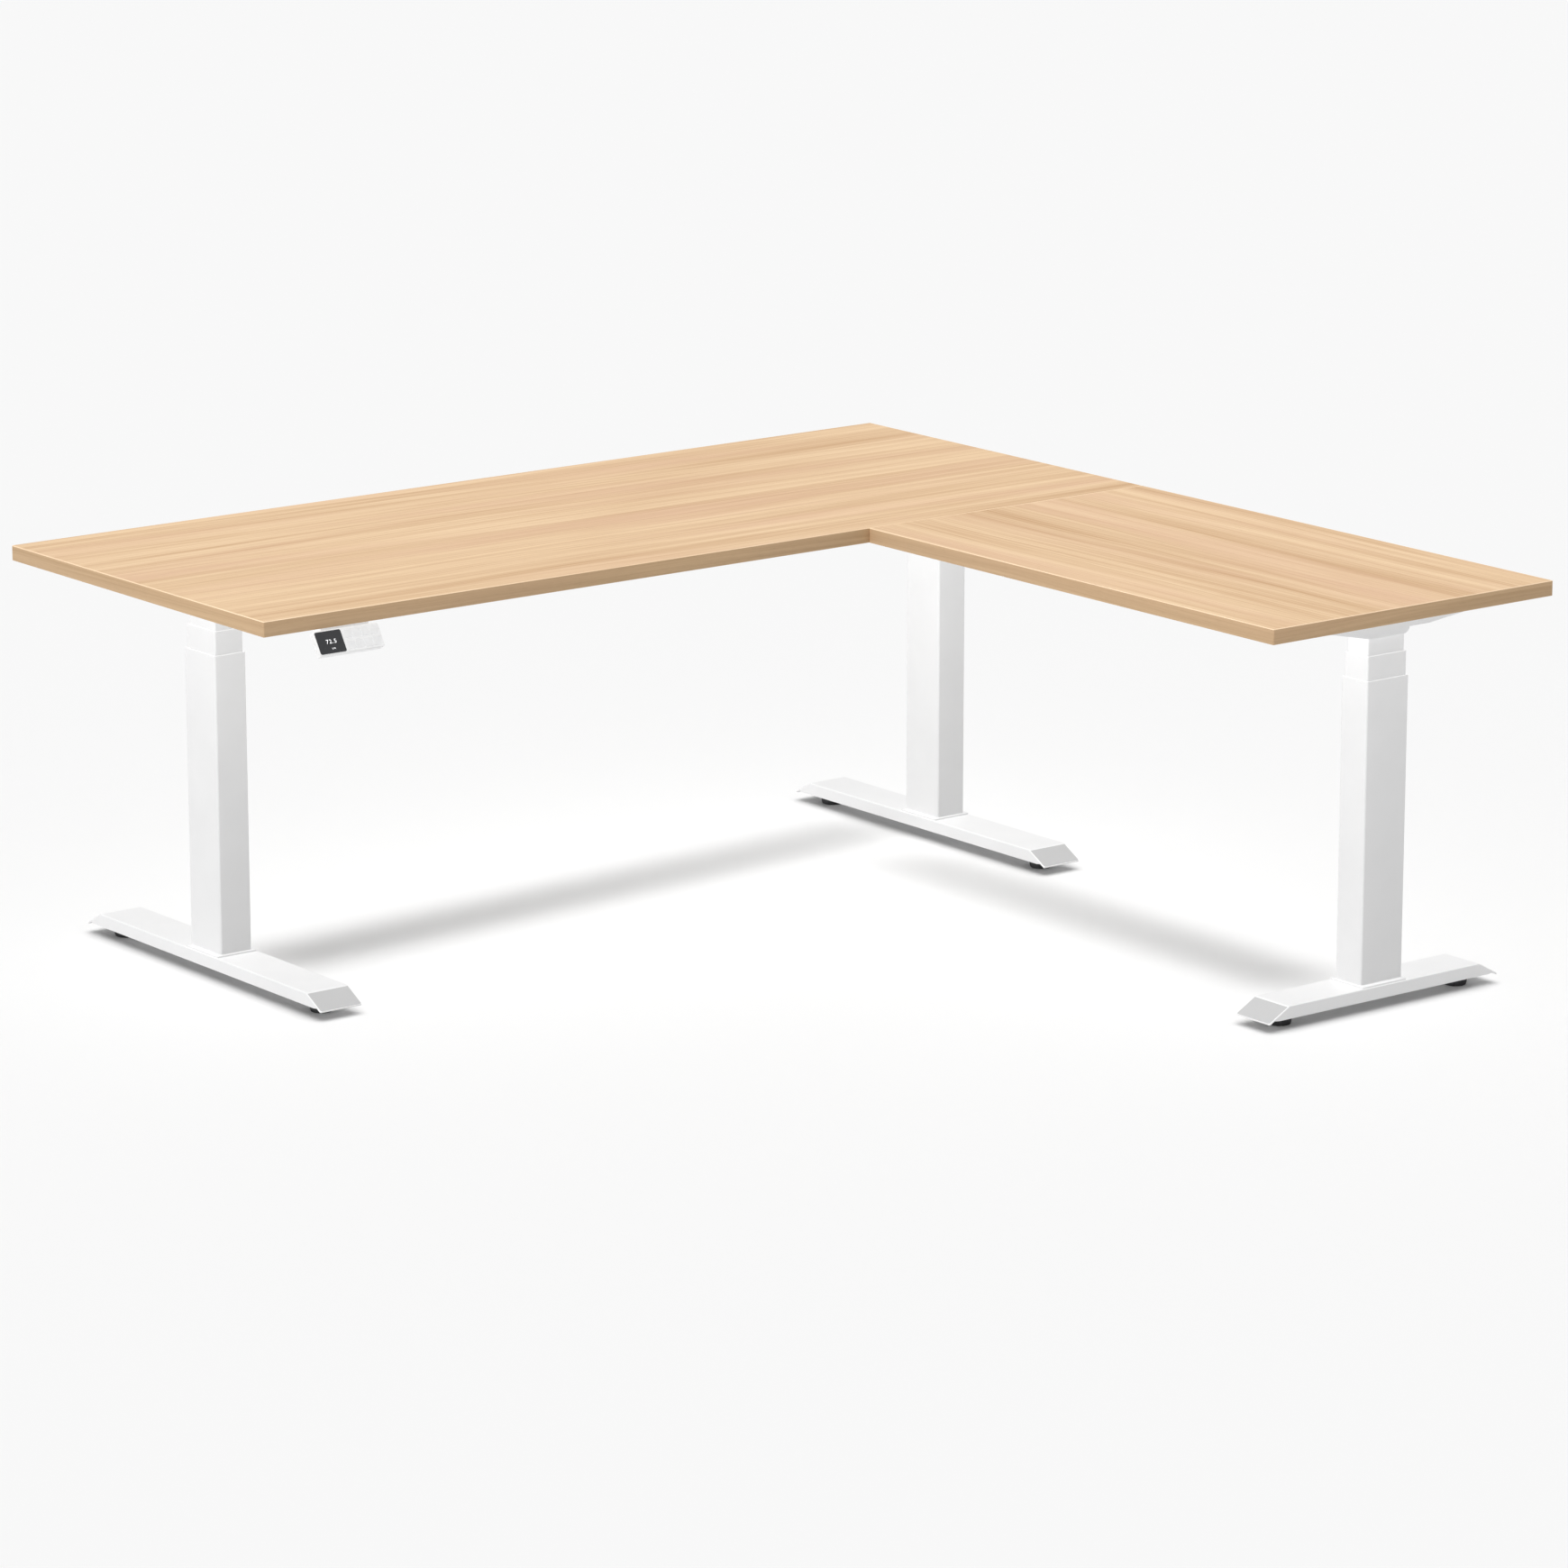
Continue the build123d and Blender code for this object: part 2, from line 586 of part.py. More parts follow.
def make_side_brackets():
    """One tapering channel on the outer side of each leg head, screwed up into the board."""
    with BuildPart() as brackets:
        for leg in LEGS:
            half = leg.bracket_length / 2
            depth = -BRACKET_FACE - HEAD_WIDTH / 2
            with BuildSketch(leg.side.offset(HEAD_WIDTH / 2)):
                with BuildLine():
                    Polyline(
                        (-half, UNDERSIDE),
                        (half, UNDERSIDE),
                        (half, BRACKET_END_LOW),
                        (BRACKET_FLAT_HALF, BRACKET_LOW),
                        (-BRACKET_FLAT_HALF, BRACKET_LOW),
                        (-half, BRACKET_END_LOW),
                        close=True,
                    )
                make_face()
            extrude(amount=depth)
            channel_top = UNDERSIDE - BRACKET_SHEET
            with BuildSketch(leg.side.offset(HEAD_WIDTH / 2 + BRACKET_SHEET)):
                with Locations((0, (channel_top + BRACKET_LOW) / 2)):
                    Rectangle(leg.bracket_length, channel_top - BRACKET_LOW)
            extrude(amount=depth - 2 * BRACKET_SHEET, mode=Mode.SUBTRACT)
            with BuildSketch(Plane.XY.offset(channel_top)):
                with Locations(*[(p.X, p.Y) for p in bracket_screw_places(leg)]):
                    Circle(SCREW_RADIUS)
            extrude(amount=BRACKET_SHEET, mode=Mode.SUBTRACT)
            with BuildSketch(leg.side.offset(HEAD_WIDTH / 2)):
                with Locations(*bracket_bolt_places()):
                    Circle(FRAME_BOLT_RADIUS)
            extrude(amount=BRACKET_SHEET, mode=Mode.SUBTRACT)
    write(brackets, "side_brackets")


def rail_joint_bolt_places():
    """World places, in plan, of the bolts through the rail joint plate."""
    front = MAIN_CENTRE_Y - RAIL_OFFSET
    rear = MAIN_CENTRE_Y + RAIL_OFFSET
    butt = front - RAIL_SIZE[0] / 2
    places = [(RETURN_CENTRE_X + side * JOINT_BOLT_SIDE, y) for side in (-1, 1) for y in (front, rear)]
    places += [(RETURN_CENTRE_X + side * RAIL_OFFSET, butt - JOINT_BOLT_BACK) for side in (-1, 1)]
    return places


def make_rails():
    """The hollow rails: one pair along the main board and one pair along the return."""
    inner_face = HEAD_WIDTH / 2 - HEAD_SHEET
    main_half = MAIN_LEG_X + inner_face
    return_low = RETURN_LEG_Y - inner_face
    butt = MAIN_CENTRE_Y - RAIL_OFFSET - RAIL_SIZE[0] / 2
    hollow = (RAIL_SIZE[0] - 2 * RAIL_WALL, RAIL_SIZE[1] - 2 * RAIL_WALL)
    with BuildPart() as main_rails:
        with BuildSketch(Plane.YZ.offset(-main_half)):
            with Locations(*[(MAIN_CENTRE_Y + side * RAIL_OFFSET, RAIL_MIDDLE) for side in (-1, 1)]):
                Rectangle(*RAIL_SIZE)
                Rectangle(*hollow, mode=Mode.SUBTRACT)
        extrude(amount=2 * main_half)
        with BuildSketch(Plane.XY.offset(RAIL_LOW)):
            with Locations(*rail_joint_bolt_places()[:4]):
                Circle(FRAME_BOLT_RADIUS)
        extrude(amount=RAIL_WALL, mode=Mode.SUBTRACT)
    write(main_rails, "main_rails")
    with BuildPart() as return_rails:
        with BuildSketch(Plane.XZ.offset(-butt)):
            with Locations(*[(RETURN_CENTRE_X + side * RAIL_OFFSET, RAIL_MIDDLE) for side in (-1, 1)]):
                Rectangle(*RAIL_SIZE)
                Rectangle(*hollow, mode=Mode.SUBTRACT)
        extrude(amount=butt - return_low)
        with BuildSketch(Plane.XY.offset(RAIL_LOW)):
            with Locations(*rail_joint_bolt_places()[4:]):
                Circle(FRAME_BOLT_RADIUS)
        extrude(amount=RAIL_WALL, mode=Mode.SUBTRACT)
    write(return_rails, "return_rails")


def make_rail_joint():
    """The T-shaped plate under the place where the return rails meet the main rails."""
    front = MAIN_CENTRE_Y - RAIL_OFFSET
    butt = front - RAIL_SIZE[0] / 2
    rear_face = MAIN_CENTRE_Y + RAIL_OFFSET + RAIL_SIZE[0] / 2
    with BuildPart() as plate:
        with BuildSketch(Plane.XY.offset(RAIL_LOW - JOINT_PLATE)):
            with Locations((RETURN_CENTRE_X, (butt + rear_face) / 2)):
                Rectangle(JOINT_BAR, rear_face - butt)
            with Locations((RETURN_CENTRE_X, butt - JOINT_STEM / 2)):
                Rectangle(2 * RAIL_OFFSET + RAIL_SIZE[0], JOINT_STEM)
            with Locations(*rail_joint_bolt_places()):
                Circle(FRAME_BOLT_RADIUS, mode=Mode.SUBTRACT)
        extrude(amount=JOINT_PLATE)
    write(plate, "rail_joint")


def make_frame_bolts():
    """Hexagon bolts: six under the rail joint and two in the back of each side bracket."""
    head_radius, head_height = FRAME_BOLT_HEAD
    with BuildPart() as bolts:
        with BuildSketch(Plane.XY.offset(RAIL_LOW - JOINT_PLATE - head_height)):
            with Locations(*rail_joint_bolt_places()):
                RegularPolygon(head_radius, 6)
        extrude(amount=head_height)
        with BuildSketch(Plane.XY.offset(RAIL_LOW - JOINT_PLATE)):
            with Locations(*rail_joint_bolt_places()):
                Circle(FRAME_BOLT_RADIUS)
        extrude(amount=JOINT_PLATE + RAIL_WALL)
        for leg in LEGS:
            with BuildSketch(leg.side.offset(HEAD_WIDTH / 2 + BRACKET_SHEET)):
                with Locations(*bracket_bolt_places()):
                    RegularPolygon(head_radius, 6)
            extrude(amount=head_height)
            with BuildSketch(leg.side.offset(HEAD_WIDTH / 2 - HEAD_SHEET)):
                with Locations(*bracket_bolt_places()):
                    Circle(FRAME_BOLT_RADIUS)
            extrude(amount=HEAD_SHEET + BRACKET_SHEET)
    write(bolts, "frame_bolts")


def make_joining_plates():
    """Flat plates across the seam between the two boards."""
    width, reach, thickness = JOINING_PLATE
    with BuildPart() as plates:
        with BuildSketch(Plane.XY.offset(UNDERSIDE - thickness)):
            with Locations(*[(x, MAIN_FRONT_Y) for x in JOINING_PLATE_X]):
                RectangleRounded(width, reach, JOINING_CORNER)
            with Locations(*[(p.X, p.Y) for p in joining_screw_places()]):
                Circle(SCREW_RADIUS, mode=Mode.SUBTRACT)
        extrude(amount=thickness)
    write(plates, "joining_plates")


def make_desktop_screws():
    """Pan head wood screws that hold everything on the underside of the boards."""
    head_radius, head_height = SCREW_HEAD
    with BuildPart() as screws:
        for place, clamped in screw_places():
            with BuildSketch(Plane.XY.offset(UNDERSIDE - clamped - head_height)):
                with Locations((place.X, place.Y)):
                    Circle(head_radius)
            extrude(amount=head_height)
            with BuildSketch(Plane.XY.offset(UNDERSIDE - clamped)):
                with Locations((place.X, place.Y)):
                    Circle(SCREW_RADIUS)
            extrude(amount=clamped + SCREW_BITE)
    write(screws, "desktop_screws")


def keypad_plane():
    """The keypad's front face: origin at its middle, local Y up the face, local Z out of it."""
    tilt = math.radians(KEYPAD_TILT)
    top_z = UNDERSIDE - KEYPAD_TOP_GAP
    half = KEYPAD_SIZE[1] / 2
    origin = (
        KEYPAD_LEFT + KEYPAD_SIZE[0] / 2,
        MAIN_FRONT_Y + KEYPAD_PROUD - half * math.cos(tilt),
        top_z - half * math.sin(tilt),
    )
    return Plane(origin=origin, x_dir=(1, 0, 0), z_dir=(0, -math.sin(tilt), math.cos(tilt)))


def button_places():
    """Local places of the eight buttons on the keypad's face: the upper row first."""
    return [
        (BUTTON_FIRST_X + column * BUTTON_PITCH[0], row * BUTTON_PITCH[1] / 2)
        for row in (1, -1)
        for column in range(4)
    ]


def display_centre():
    """Local place of the middle of the display on the keypad's face."""
    return (-KEYPAD_SIZE[0] / 2 + DISPLAY_INSET + DISPLAY_SIZE[0] / 2, 0)


def make_keypad_case():
    """The tilted keypad housing with its pockets, port and the neck that it hangs by."""
    face = keypad_plane()
    tail = MAIN_FRONT_Y + NECK_BACK
    pocket = (BUTTON_SIZE[0] + 2 * BUTTON_GAP, BUTTON_SIZE[1] + 2 * BUTTON_GAP)
    port_middle = face.from_local_coords(Vector(-KEYPAD_SIZE[0] / 2, *PORT_PLACE))
    port = Plane(origin=port_middle, x_dir=face.y_dir, z_dir=(-1, 0, 0))
    with BuildPart() as case:
        with BuildSketch(face):
            RectangleRounded(*KEYPAD_SIZE, KEYPAD_CORNER)
        extrude(amount=-KEYPAD_THICKNESS)
        fillet(edges_on(case, face), radius=KEYPAD_EDGE)
        with BuildSketch(Plane.YZ.offset(face.origin.X)):
            with BuildLine():
                Polyline(
                    (MAIN_FRONT_Y + NECK_FRONT[0], UNDERSIDE - NECK_FRONT[1]),
                    (MAIN_FRONT_Y + NECK_FRONT[0], UNDERSIDE),
                    (tail, UNDERSIDE),
                    (tail, UNDERSIDE - NECK_FLANGE),
                    (MAIN_FRONT_Y + NECK_WEDGE_BACK, UNDERSIDE - NECK_FLANGE),
                    (MAIN_FRONT_Y - NECK_WEDGE_FRONT[0], UNDERSIDE - NECK_WEDGE_FRONT[1]),
                    close=True,
                )
            make_face()
        extrude(amount=NECK_WIDTH / 2, both=True)
        with BuildSketch(face):
            with Locations(display_centre()):
                RectangleRounded(*DISPLAY_SIZE, DISPLAY_CORNER)
        extrude(amount=-DISPLAY_THICKNESS, mode=Mode.SUBTRACT)
        with BuildSketch(face):
            with Locations(*button_places()):
                RectangleRounded(*pocket, BUTTON_CORNER + BUTTON_GAP)
        extrude(amount=-POCKET_DEPTH, mode=Mode.SUBTRACT)
        with BuildSketch(port):
            RectangleRounded(PORT_SIZE[0], PORT_SIZE[1], PORT_CORNER)
        extrude(amount=-PORT_SIZE[2], mode=Mode.SUBTRACT)
        with BuildSketch(Plane.XY.offset(UNDERSIDE - NECK_FLANGE)):
            with Locations(*[(p.X, p.Y) for p in keypad_screw_places()]):
                Circle(SCREW_RADIUS)
        extrude(amount=NECK_FLANGE, mode=Mode.SUBTRACT)
    write(case, "keypad_case")


def make_display_window():
    """The dark window over the height display, flush with the keypad's face."""
    with BuildPart() as window:
        with BuildSketch(keypad_plane()):
            with Locations(display_centre()):
                RectangleRounded(*DISPLAY_SIZE, DISPLAY_CORNER)
        extrude(amount=-DISPLAY_THICKNESS)
    write(window, "display_window")


def make_buttons():
    """Eight separate keys: six memory and menu keys, then up above down at the right end."""
    names = (
        "menu_button", "lock_button", "unit_button", "up_button",
        "memory_1_button", "memory_2_button", "memory_3_button", "down_button",
    )
    face = keypad_plane()
    for name, place in zip(names, button_places()):
        with BuildPart() as button:
            with BuildSketch(face.offset(BUTTON_PROUD)):
                with Locations(place):
                    RectangleRounded(*BUTTON_SIZE, BUTTON_CORNER)
            extrude(amount=-BUTTON_THICKNESS)
            fillet(edges_on(button, face.offset(BUTTON_PROUD)), radius=BUTTON_EDGE)
        write(button, name)


def make_control_box():
    """The control box: a shallow tray with four ears, closed by the board above it."""
    length, width, height = BOX_SIZE
    low = UNDERSIDE - height
    with BuildPart() as tray:
        with BuildSketch(Plane.XY.offset(low)):
            with Locations(BOX_CENTRE):
                RectangleRounded(length, width, BOX_CORNER)
        extrude(amount=height)
        fillet(tray.edges().group_by(Axis.Z)[0], radius=BOX_EDGE)
        with BuildSketch(Plane.XY.offset(low + BOX_WALL)):
            with Locations(BOX_CENTRE):
                RectangleRounded(length - 2 * BOX_WALL, width - 2 * BOX_WALL, BOX_CORNER - BOX_WALL)
        extrude(amount=height - BOX_WALL, mode=Mode.SUBTRACT)
        with BuildSketch(Plane.XY.offset(UNDERSIDE - EAR_SIZE[2])):
            with Locations(*[(p.X, p.Y) for p in box_screw_places()]):
                Rectangle(EAR_SIZE[0], EAR_SIZE[1])
        extrude(amount=EAR_SIZE[2])
        with BuildSketch(Plane.XY.offset(UNDERSIDE - EAR_SIZE[2])):
            with Locations(*[(p.X, p.Y) for p in box_screw_places()]):
                Circle(SCREW_RADIUS)
        extrude(amount=EAR_SIZE[2], mode=Mode.SUBTRACT)
        with BuildSketch(Plane.YZ.offset(BOX_CENTRE[0] + length / 2 - BOX_WALL)):
            with Locations((BOX_CENTRE[1], INLET_Z)):
                Rectangle(INLET_SIZE[1], INLET_SIZE[2])
        extrude(amount=BOX_WALL, mode=Mode.SUBTRACT)
    write(tray, "control_box")


def make_power_inlet():
    """The mains inlet in the end wall of the control box: a flanged block with three pins."""
    depth, width, height = INLET_SIZE
    rim, rim_height = INLET_FLANGE
    pin_width, pin_height, pin_length = INLET_PIN
    mouth = Plane.YZ.offset(BOX_CENTRE[0] + BOX_SIZE[0] / 2)
    middle = (BOX_CENTRE[1], INLET_Z)
    with BuildPart() as inlet:
        with BuildSketch(mouth.offset(-depth)):
            with Locations(middle):
                Rectangle(width, height)
        extrude(amount=depth)
        with BuildSketch(mouth):
            with Locations(middle):
                RectangleRounded(width + 2 * rim, height + 2 * rim, INLET_CORNER)
        extrude(amount=rim_height)
        with BuildSketch(mouth.offset(rim_height)):
            with Locations(middle):
                RectangleRounded(width - 2 * INLET_WALL, height - 2 * INLET_WALL, INLET_CORNER)
        extrude(amount=INLET_FLOOR - rim_height, mode=Mode.SUBTRACT)
        with BuildSketch(mouth.offset(INLET_FLOOR)):
            with Locations(*[(middle[0] + y, middle[1] + z) for y, z in INLET_PINS]):
                Rectangle(pin_width, pin_height)
        extrude(amount=pin_length)
    write(inlet, "power_inlet")


def make_leg(leg):
    """Every piece of one leg, from the pads up to the head."""
    make_foot(leg)
    for end, name in zip((-1, 1), leg.pad_names):
        make_pad(leg, end, name)
    make_foot_bolts(leg)
    make_outer_tube(leg)
    make_middle_tube(leg)
    make_inner_tube(leg)
    make_glides(leg, "outer", OUTER_TUBE, OUTER_TUBE_TOP, TUBE_CORNER - TUBE_WALL)
    make_glides(leg, "middle", MIDDLE_TUBE, MIDDLE_TUBE_TOP, TUBE_CORNER - CORNER_STEP - TUBE_WALL)
    make_drive_spindle(leg)
    make_hollow_spindle(leg)
    make_gear_motor(leg)
    make_leg_head(leg)


os.makedirs("parts", exist_ok=True)
for each_leg in LEGS:
    make_leg(each_leg)
make_board("main_desktop", MAIN_LENGTH, MAIN_DEPTH, (0, MAIN_CENTRE_Y))
make_board("return_desktop", RETURN_DEPTH, RETURN_LENGTH, (RETURN_CENTRE_X, RETURN_CENTRE_Y))
make_side_brackets()
make_rails()
make_rail_joint()
make_frame_bolts()
make_joining_plates()
make_desktop_screws()
make_keypad_case()
make_display_window()
make_buttons()
make_control_box()
make_power_inlet()
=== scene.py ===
"""Looks of an L-shaped, height adjustable desk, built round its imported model."""

from __future__ import annotations

import json
import logging
import math
from dataclasses import dataclass, field
from enum import Enum

import bpy
import numpy as np
from mathutils import Matrix, Vector

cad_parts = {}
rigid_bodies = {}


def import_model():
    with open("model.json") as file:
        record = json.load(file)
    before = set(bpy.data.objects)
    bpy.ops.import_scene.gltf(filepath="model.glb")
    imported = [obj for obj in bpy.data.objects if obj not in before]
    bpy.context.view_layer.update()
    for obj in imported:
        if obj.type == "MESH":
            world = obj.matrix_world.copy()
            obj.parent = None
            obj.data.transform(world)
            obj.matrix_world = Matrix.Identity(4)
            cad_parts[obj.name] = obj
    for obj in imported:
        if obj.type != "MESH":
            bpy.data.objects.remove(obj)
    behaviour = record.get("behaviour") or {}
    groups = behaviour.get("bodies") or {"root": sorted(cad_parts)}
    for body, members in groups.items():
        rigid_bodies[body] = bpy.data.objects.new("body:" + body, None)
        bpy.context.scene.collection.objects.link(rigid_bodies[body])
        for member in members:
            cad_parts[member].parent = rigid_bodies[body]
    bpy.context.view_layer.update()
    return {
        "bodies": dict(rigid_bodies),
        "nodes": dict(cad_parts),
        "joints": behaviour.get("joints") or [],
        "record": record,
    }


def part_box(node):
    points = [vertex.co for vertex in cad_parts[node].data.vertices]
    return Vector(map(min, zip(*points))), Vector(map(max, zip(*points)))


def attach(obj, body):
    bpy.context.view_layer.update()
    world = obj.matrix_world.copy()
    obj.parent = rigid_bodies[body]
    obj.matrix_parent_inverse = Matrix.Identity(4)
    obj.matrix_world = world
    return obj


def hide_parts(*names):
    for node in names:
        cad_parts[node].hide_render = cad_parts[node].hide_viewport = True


LOG = logging.getLogger("desk")
MM = 0.001
LEG_NAMES = ("left", "corner", "return")
UP = Vector((0.0, 0.0, 1.0))
UPSIDE_DOWN = Matrix.Rotation(math.pi, 4, "X")
SHARP_FROM = math.radians(35)
UPWARD_FROM = 0.25
Colour = tuple[float, float, float]
Socket = bpy.types.NodeSocket


# ---------------------------------------------------------------- meshes


class Shading(Enum):
    """How a mesh's faces meet in the light."""

    SMOOTH = "smooth"
    FLAT = "flat"


@dataclass(frozen=True)
class Surface:
    """Vertices, faces and, where a finish needs it, one (u, v) in metres for each corner of a face."""

    points: np.ndarray
    faces: list[tuple[int, ...]]
    uvs: np.ndarray | None = None

    def moved(self, matrix: Matrix) -> Surface:
        """The same surface, taken through a 4 by 4 matrix."""
        m = np.array(matrix, float)
        return Surface(self.points @ m[:3, :3].T + m[:3, 3], self.faces, self.uvs)


def joined(surfaces: list[Surface]) -> Surface:
    """Put several surfaces into one, each keeping its own vertices.

    Args:
        surfaces: The surfaces to put together.

    Returns:
        One surface that holds them all. It has uvs only where each of them has.
    """
    starts = np.cumsum([0] + [len(s.points) for s in surfaces[:-1]])
    faces = [tuple(int(i + start) for i in face) for s, start in zip(surfaces, starts) for face in s.faces]
    with_uvs = all(s.uvs is not None for s in surfaces)
    uvs = np.concatenate([s.uvs for s in surfaces]) if with_uvs else None
    return Surface(np.concatenate([s.points for s in surfaces]), faces, uvs)


def at(x: float, y: float, z: float = 0.0) -> Matrix:
    """A matrix that carries the origin to a point."""
    return Matrix.Translation((x, y, z))


def face_list(corners: np.ndarray) -> list[tuple[int, ...]]:
    """Rows of vertex numbers as the plain tuples that a mesh takes."""
    return [tuple(row) for row in corners.tolist()]


def caps(columns: int, rows: int) -> list[tuple[int, ...]]:
    """The two end faces of a grid wrapped round its columns: across its first row, then its last."""
    ring = np.arange(columns) * rows
    return face_list(np.stack([ring[::-1], ring + rows - 1]))


def quads(columns: int, rows: int, wrap_columns: bool, wrap_rows: bool) -> np.ndarray:
    """Corner numbers of the quads of a grid whose vertex (k, j) has the number k * rows + j.

    Args:
        columns: How many columns of vertices there are.
        rows: How many vertices each column has.
        wrap_columns: Whether the last column meets the first.
        wrap_rows: Whether each column's last vertex meets its first.

    Returns:
        One row of four vertex numbers for each quad.
    """
    k = np.arange(columns if wrap_columns else columns - 1)
    j = np.arange(rows if wrap_rows else rows - 1)
    k, j = (a.ravel() for a in np.meshgrid(k, j, indexing="ij"))
    k_next, j_next = (k + 1) % columns, (j + 1) % rows
    return np.stack([k * rows + j, k_next * rows + j, k_next * rows + j_next, k * rows + j_next], axis=1)


def arc(centre: tuple[float, float], radius: float, start: float, end: float, steps: int) -> np.ndarray:
    """Points on a circle: the centre plus the radius times (cos, sin) of angles from start to end.

    Args:
        centre: The circle's centre.
        radius: Its radius.
        start: The first angle, in degrees.
        end: The last angle, in degrees.
        steps: How many chords the arc has.

    Returns:
        One row of two numbers for each point.
    """
    angle = np.radians(np.linspace(start, end, steps + 1))
    return np.stack([centre[0] + radius * np.cos(angle), centre[1] + radius * np.sin(angle)], axis=1)


@dataclass(frozen=True)
class Rim:
    """A path round a core rectangle, or round a point, that profiles are carried along.

    The point (k, j) of a sweep is the core's corner nearest to k, plus profile[j]'s first number
    times the unit vector (cos, sin) of k's angle, at profile[j]'s second number above the plane.
    """

    half_x: float = 0.0
    half_y: float = 0.0
    steps: int = 6

    def ring(self) -> tuple[np.ndarray, np.ndarray]:
        """The core's corner and the outward unit vector at each place along the path.

        Returns:
            One row for each place along the path: the corners, then the unit vectors.
        """
        if self.half_x == 0 and self.half_y == 0:
            angle = np.linspace(0, 2 * math.pi, 4 * self.steps, endpoint=False)
            core = np.zeros((len(angle), 2))
        else:
            quarter = np.linspace(0, math.pi / 2, self.steps + 1)
            angle = np.concatenate([quarter + turn * math.pi / 2 for turn in range(4)])
            signs = np.repeat([[1, 1], [-1, 1], [-1, -1], [1, -1]], self.steps + 1, axis=0)
            core = signs * np.array([self.half_x, self.half_y])
        return core, np.stack([np.cos(angle), np.sin(angle)], axis=1)

    def sweep(self, profile: np.ndarray, closed: bool = False) -> Surface:
        """Carry a profile round the path.

        Args:
            profile: Rows of (outwards, upwards), with the outer side running upwards.
            closed: Whether the profile's last point joins its first. An open one gets flat caps.

        Returns:
            The closed surface, with u along the path and v along the profile.
        """
        core, outward = self.ring()
        columns, rows = len(core), len(profile)
        flat = core[:, None, :] + outward[:, None, :] * profile[None, :, :1]
        rise = np.broadcast_to(profile[None, :, 1:], (columns, rows, 1))
        points = np.concatenate([flat, rise], axis=2).reshape(-1, 3)
        sides = quads(columns, rows, True, closed)
        widest = core + outward * profile[:, 0].max()
        run = np.concatenate([[0], np.cumsum(np.linalg.norm(np.roll(widest, -1, 0) - widest, axis=1))])
        along = np.concatenate([profile, profile[:1]]) if closed else profile
        depth = np.concatenate([[0], np.cumsum(np.linalg.norm(np.diff(along, axis=0), axis=1))])
        k, j = sides[:, 0] // rows, sides[:, 0] % rows
        uvs = np.stack([run[[k, k + 1, k + 1, k]], depth[[j, j, j + 1, j + 1]]], axis=2)
        uvs = uvs.transpose(1, 0, 2).reshape(-1, 2)
        faces = face_list(sides)
        if not closed:
            ends = caps(columns, rows)
            faces += ends
            uvs = np.concatenate([uvs, *(points[list(end), :2] for end in ends)])
        return Surface(points, faces, uvs)


def threaded_rod(
    radius: float, depth: float, pitch: float, low: float, high: float, around: int = 24, per_turn: int = 8
) -> Surface:
    """A screw thread on a rod, as a surface of angle and height.

    The distance from the axis is the radius, less the depth times a rounded trapezium wave of
    height / pitch - angle / 360 degrees. The wave fades out over the last half turn at each end.

    Args:
        radius: Outside radius of the thread.
        depth: Depth of the thread.
        pitch: Height of one turn.
        low: Height of the rod's lower end.
        high: Height of its upper end.
        around: How many faces the rod has round it.
        per_turn: How many rows of faces each turn of the thread has.

    Returns:
        The closed surface.
    """
    rows = max(12, int((high - low) / pitch * per_turn)) + 1
    angle = np.linspace(0, 2 * math.pi, around, endpoint=False)[:, None]
    height = np.linspace(low, high, rows)[None, :]
    wave = np.cos(2 * math.pi * (height / pitch - angle / (2 * math.pi)))
    groove = 0.5 - 0.5 * np.clip(1.8 * wave, -1, 1)
    fade = np.clip(np.minimum(height - low, high - height) / (0.5 * pitch), 0, 1)
    out = radius - depth * (1 - (1 - groove) * fade)
    points = np.stack([out * np.cos(angle), out * np.sin(angle), np.broadcast_to(height, out.shape)], axis=2)
    faces = face_list(quads(around, rows, True, False)) + caps(around, rows)
    return Surface(points.reshape(-1, 3), faces)


def ribbon(path: np.ndarray, width: float, thickness: float) -> Surface:
    """A flat stroke of even width along a path, as thick as ink.

    Each point of the path moves half a width to either side, along the mean of the normals of
    the two runs that meet there, lengthened so that both runs keep their width.

    Args:
        path: Rows of (x, y).
        width: Width of the stroke.
        thickness: Its height above z = 0.

    Returns:
        The closed surface.
    """
    runs = np.diff(path, axis=0)
    runs = runs / np.linalg.norm(runs, axis=1)[:, None]
    normals = np.stack([-runs[:, 1], runs[:, 0]], axis=1)
    before, after = np.vstack([normals[:1], normals]), np.vstack([normals, normals[-1:]])
    mean = before + after
    mitre = mean / np.maximum(np.sum(mean * after, axis=1), 0.6)[:, None]
    left, right = path + mitre * width / 2, path - mitre * width / 2
    low, high = np.zeros((len(path), 1)), np.full((len(path), 1), thickness)
    loop = [np.hstack(pair) for pair in ((right, low), (right, high), (left, high), (left, low))]
    points = np.stack(loop, axis=1).reshape(-1, 3)
    faces = face_list(quads(len(path), 4, False, True))
    last = 4 * (len(path) - 1)
    faces += [(0, 1, 2, 3), (last + 3, last + 2, last + 1, last)]
    return Surface(points, faces)


def plate(outline: np.ndarray, thickness: float) -> Surface:
    """A flat plate: its outline, counter-clockwise, at z = 0 and again at its thickness.

    Args:
        outline: Rows of (x, y), counter-clockwise.
        thickness: Height of the plate.

    Returns:
        The closed surface.
    """
    n = len(outline)
    low = np.hstack([outline, np.zeros((n, 1))])
    high = np.hstack([outline, np.full((n, 1), thickness)])
    sides = [(i, (i + 1) % n, n + (i + 1) % n, n + i) for i in range(n)]
    return Surface(np.vstack([low, high]), sides + [tuple(range(n))[::-1], tuple(range(n, 2 * n))])


# ---------------------------------------------------------------- finishes


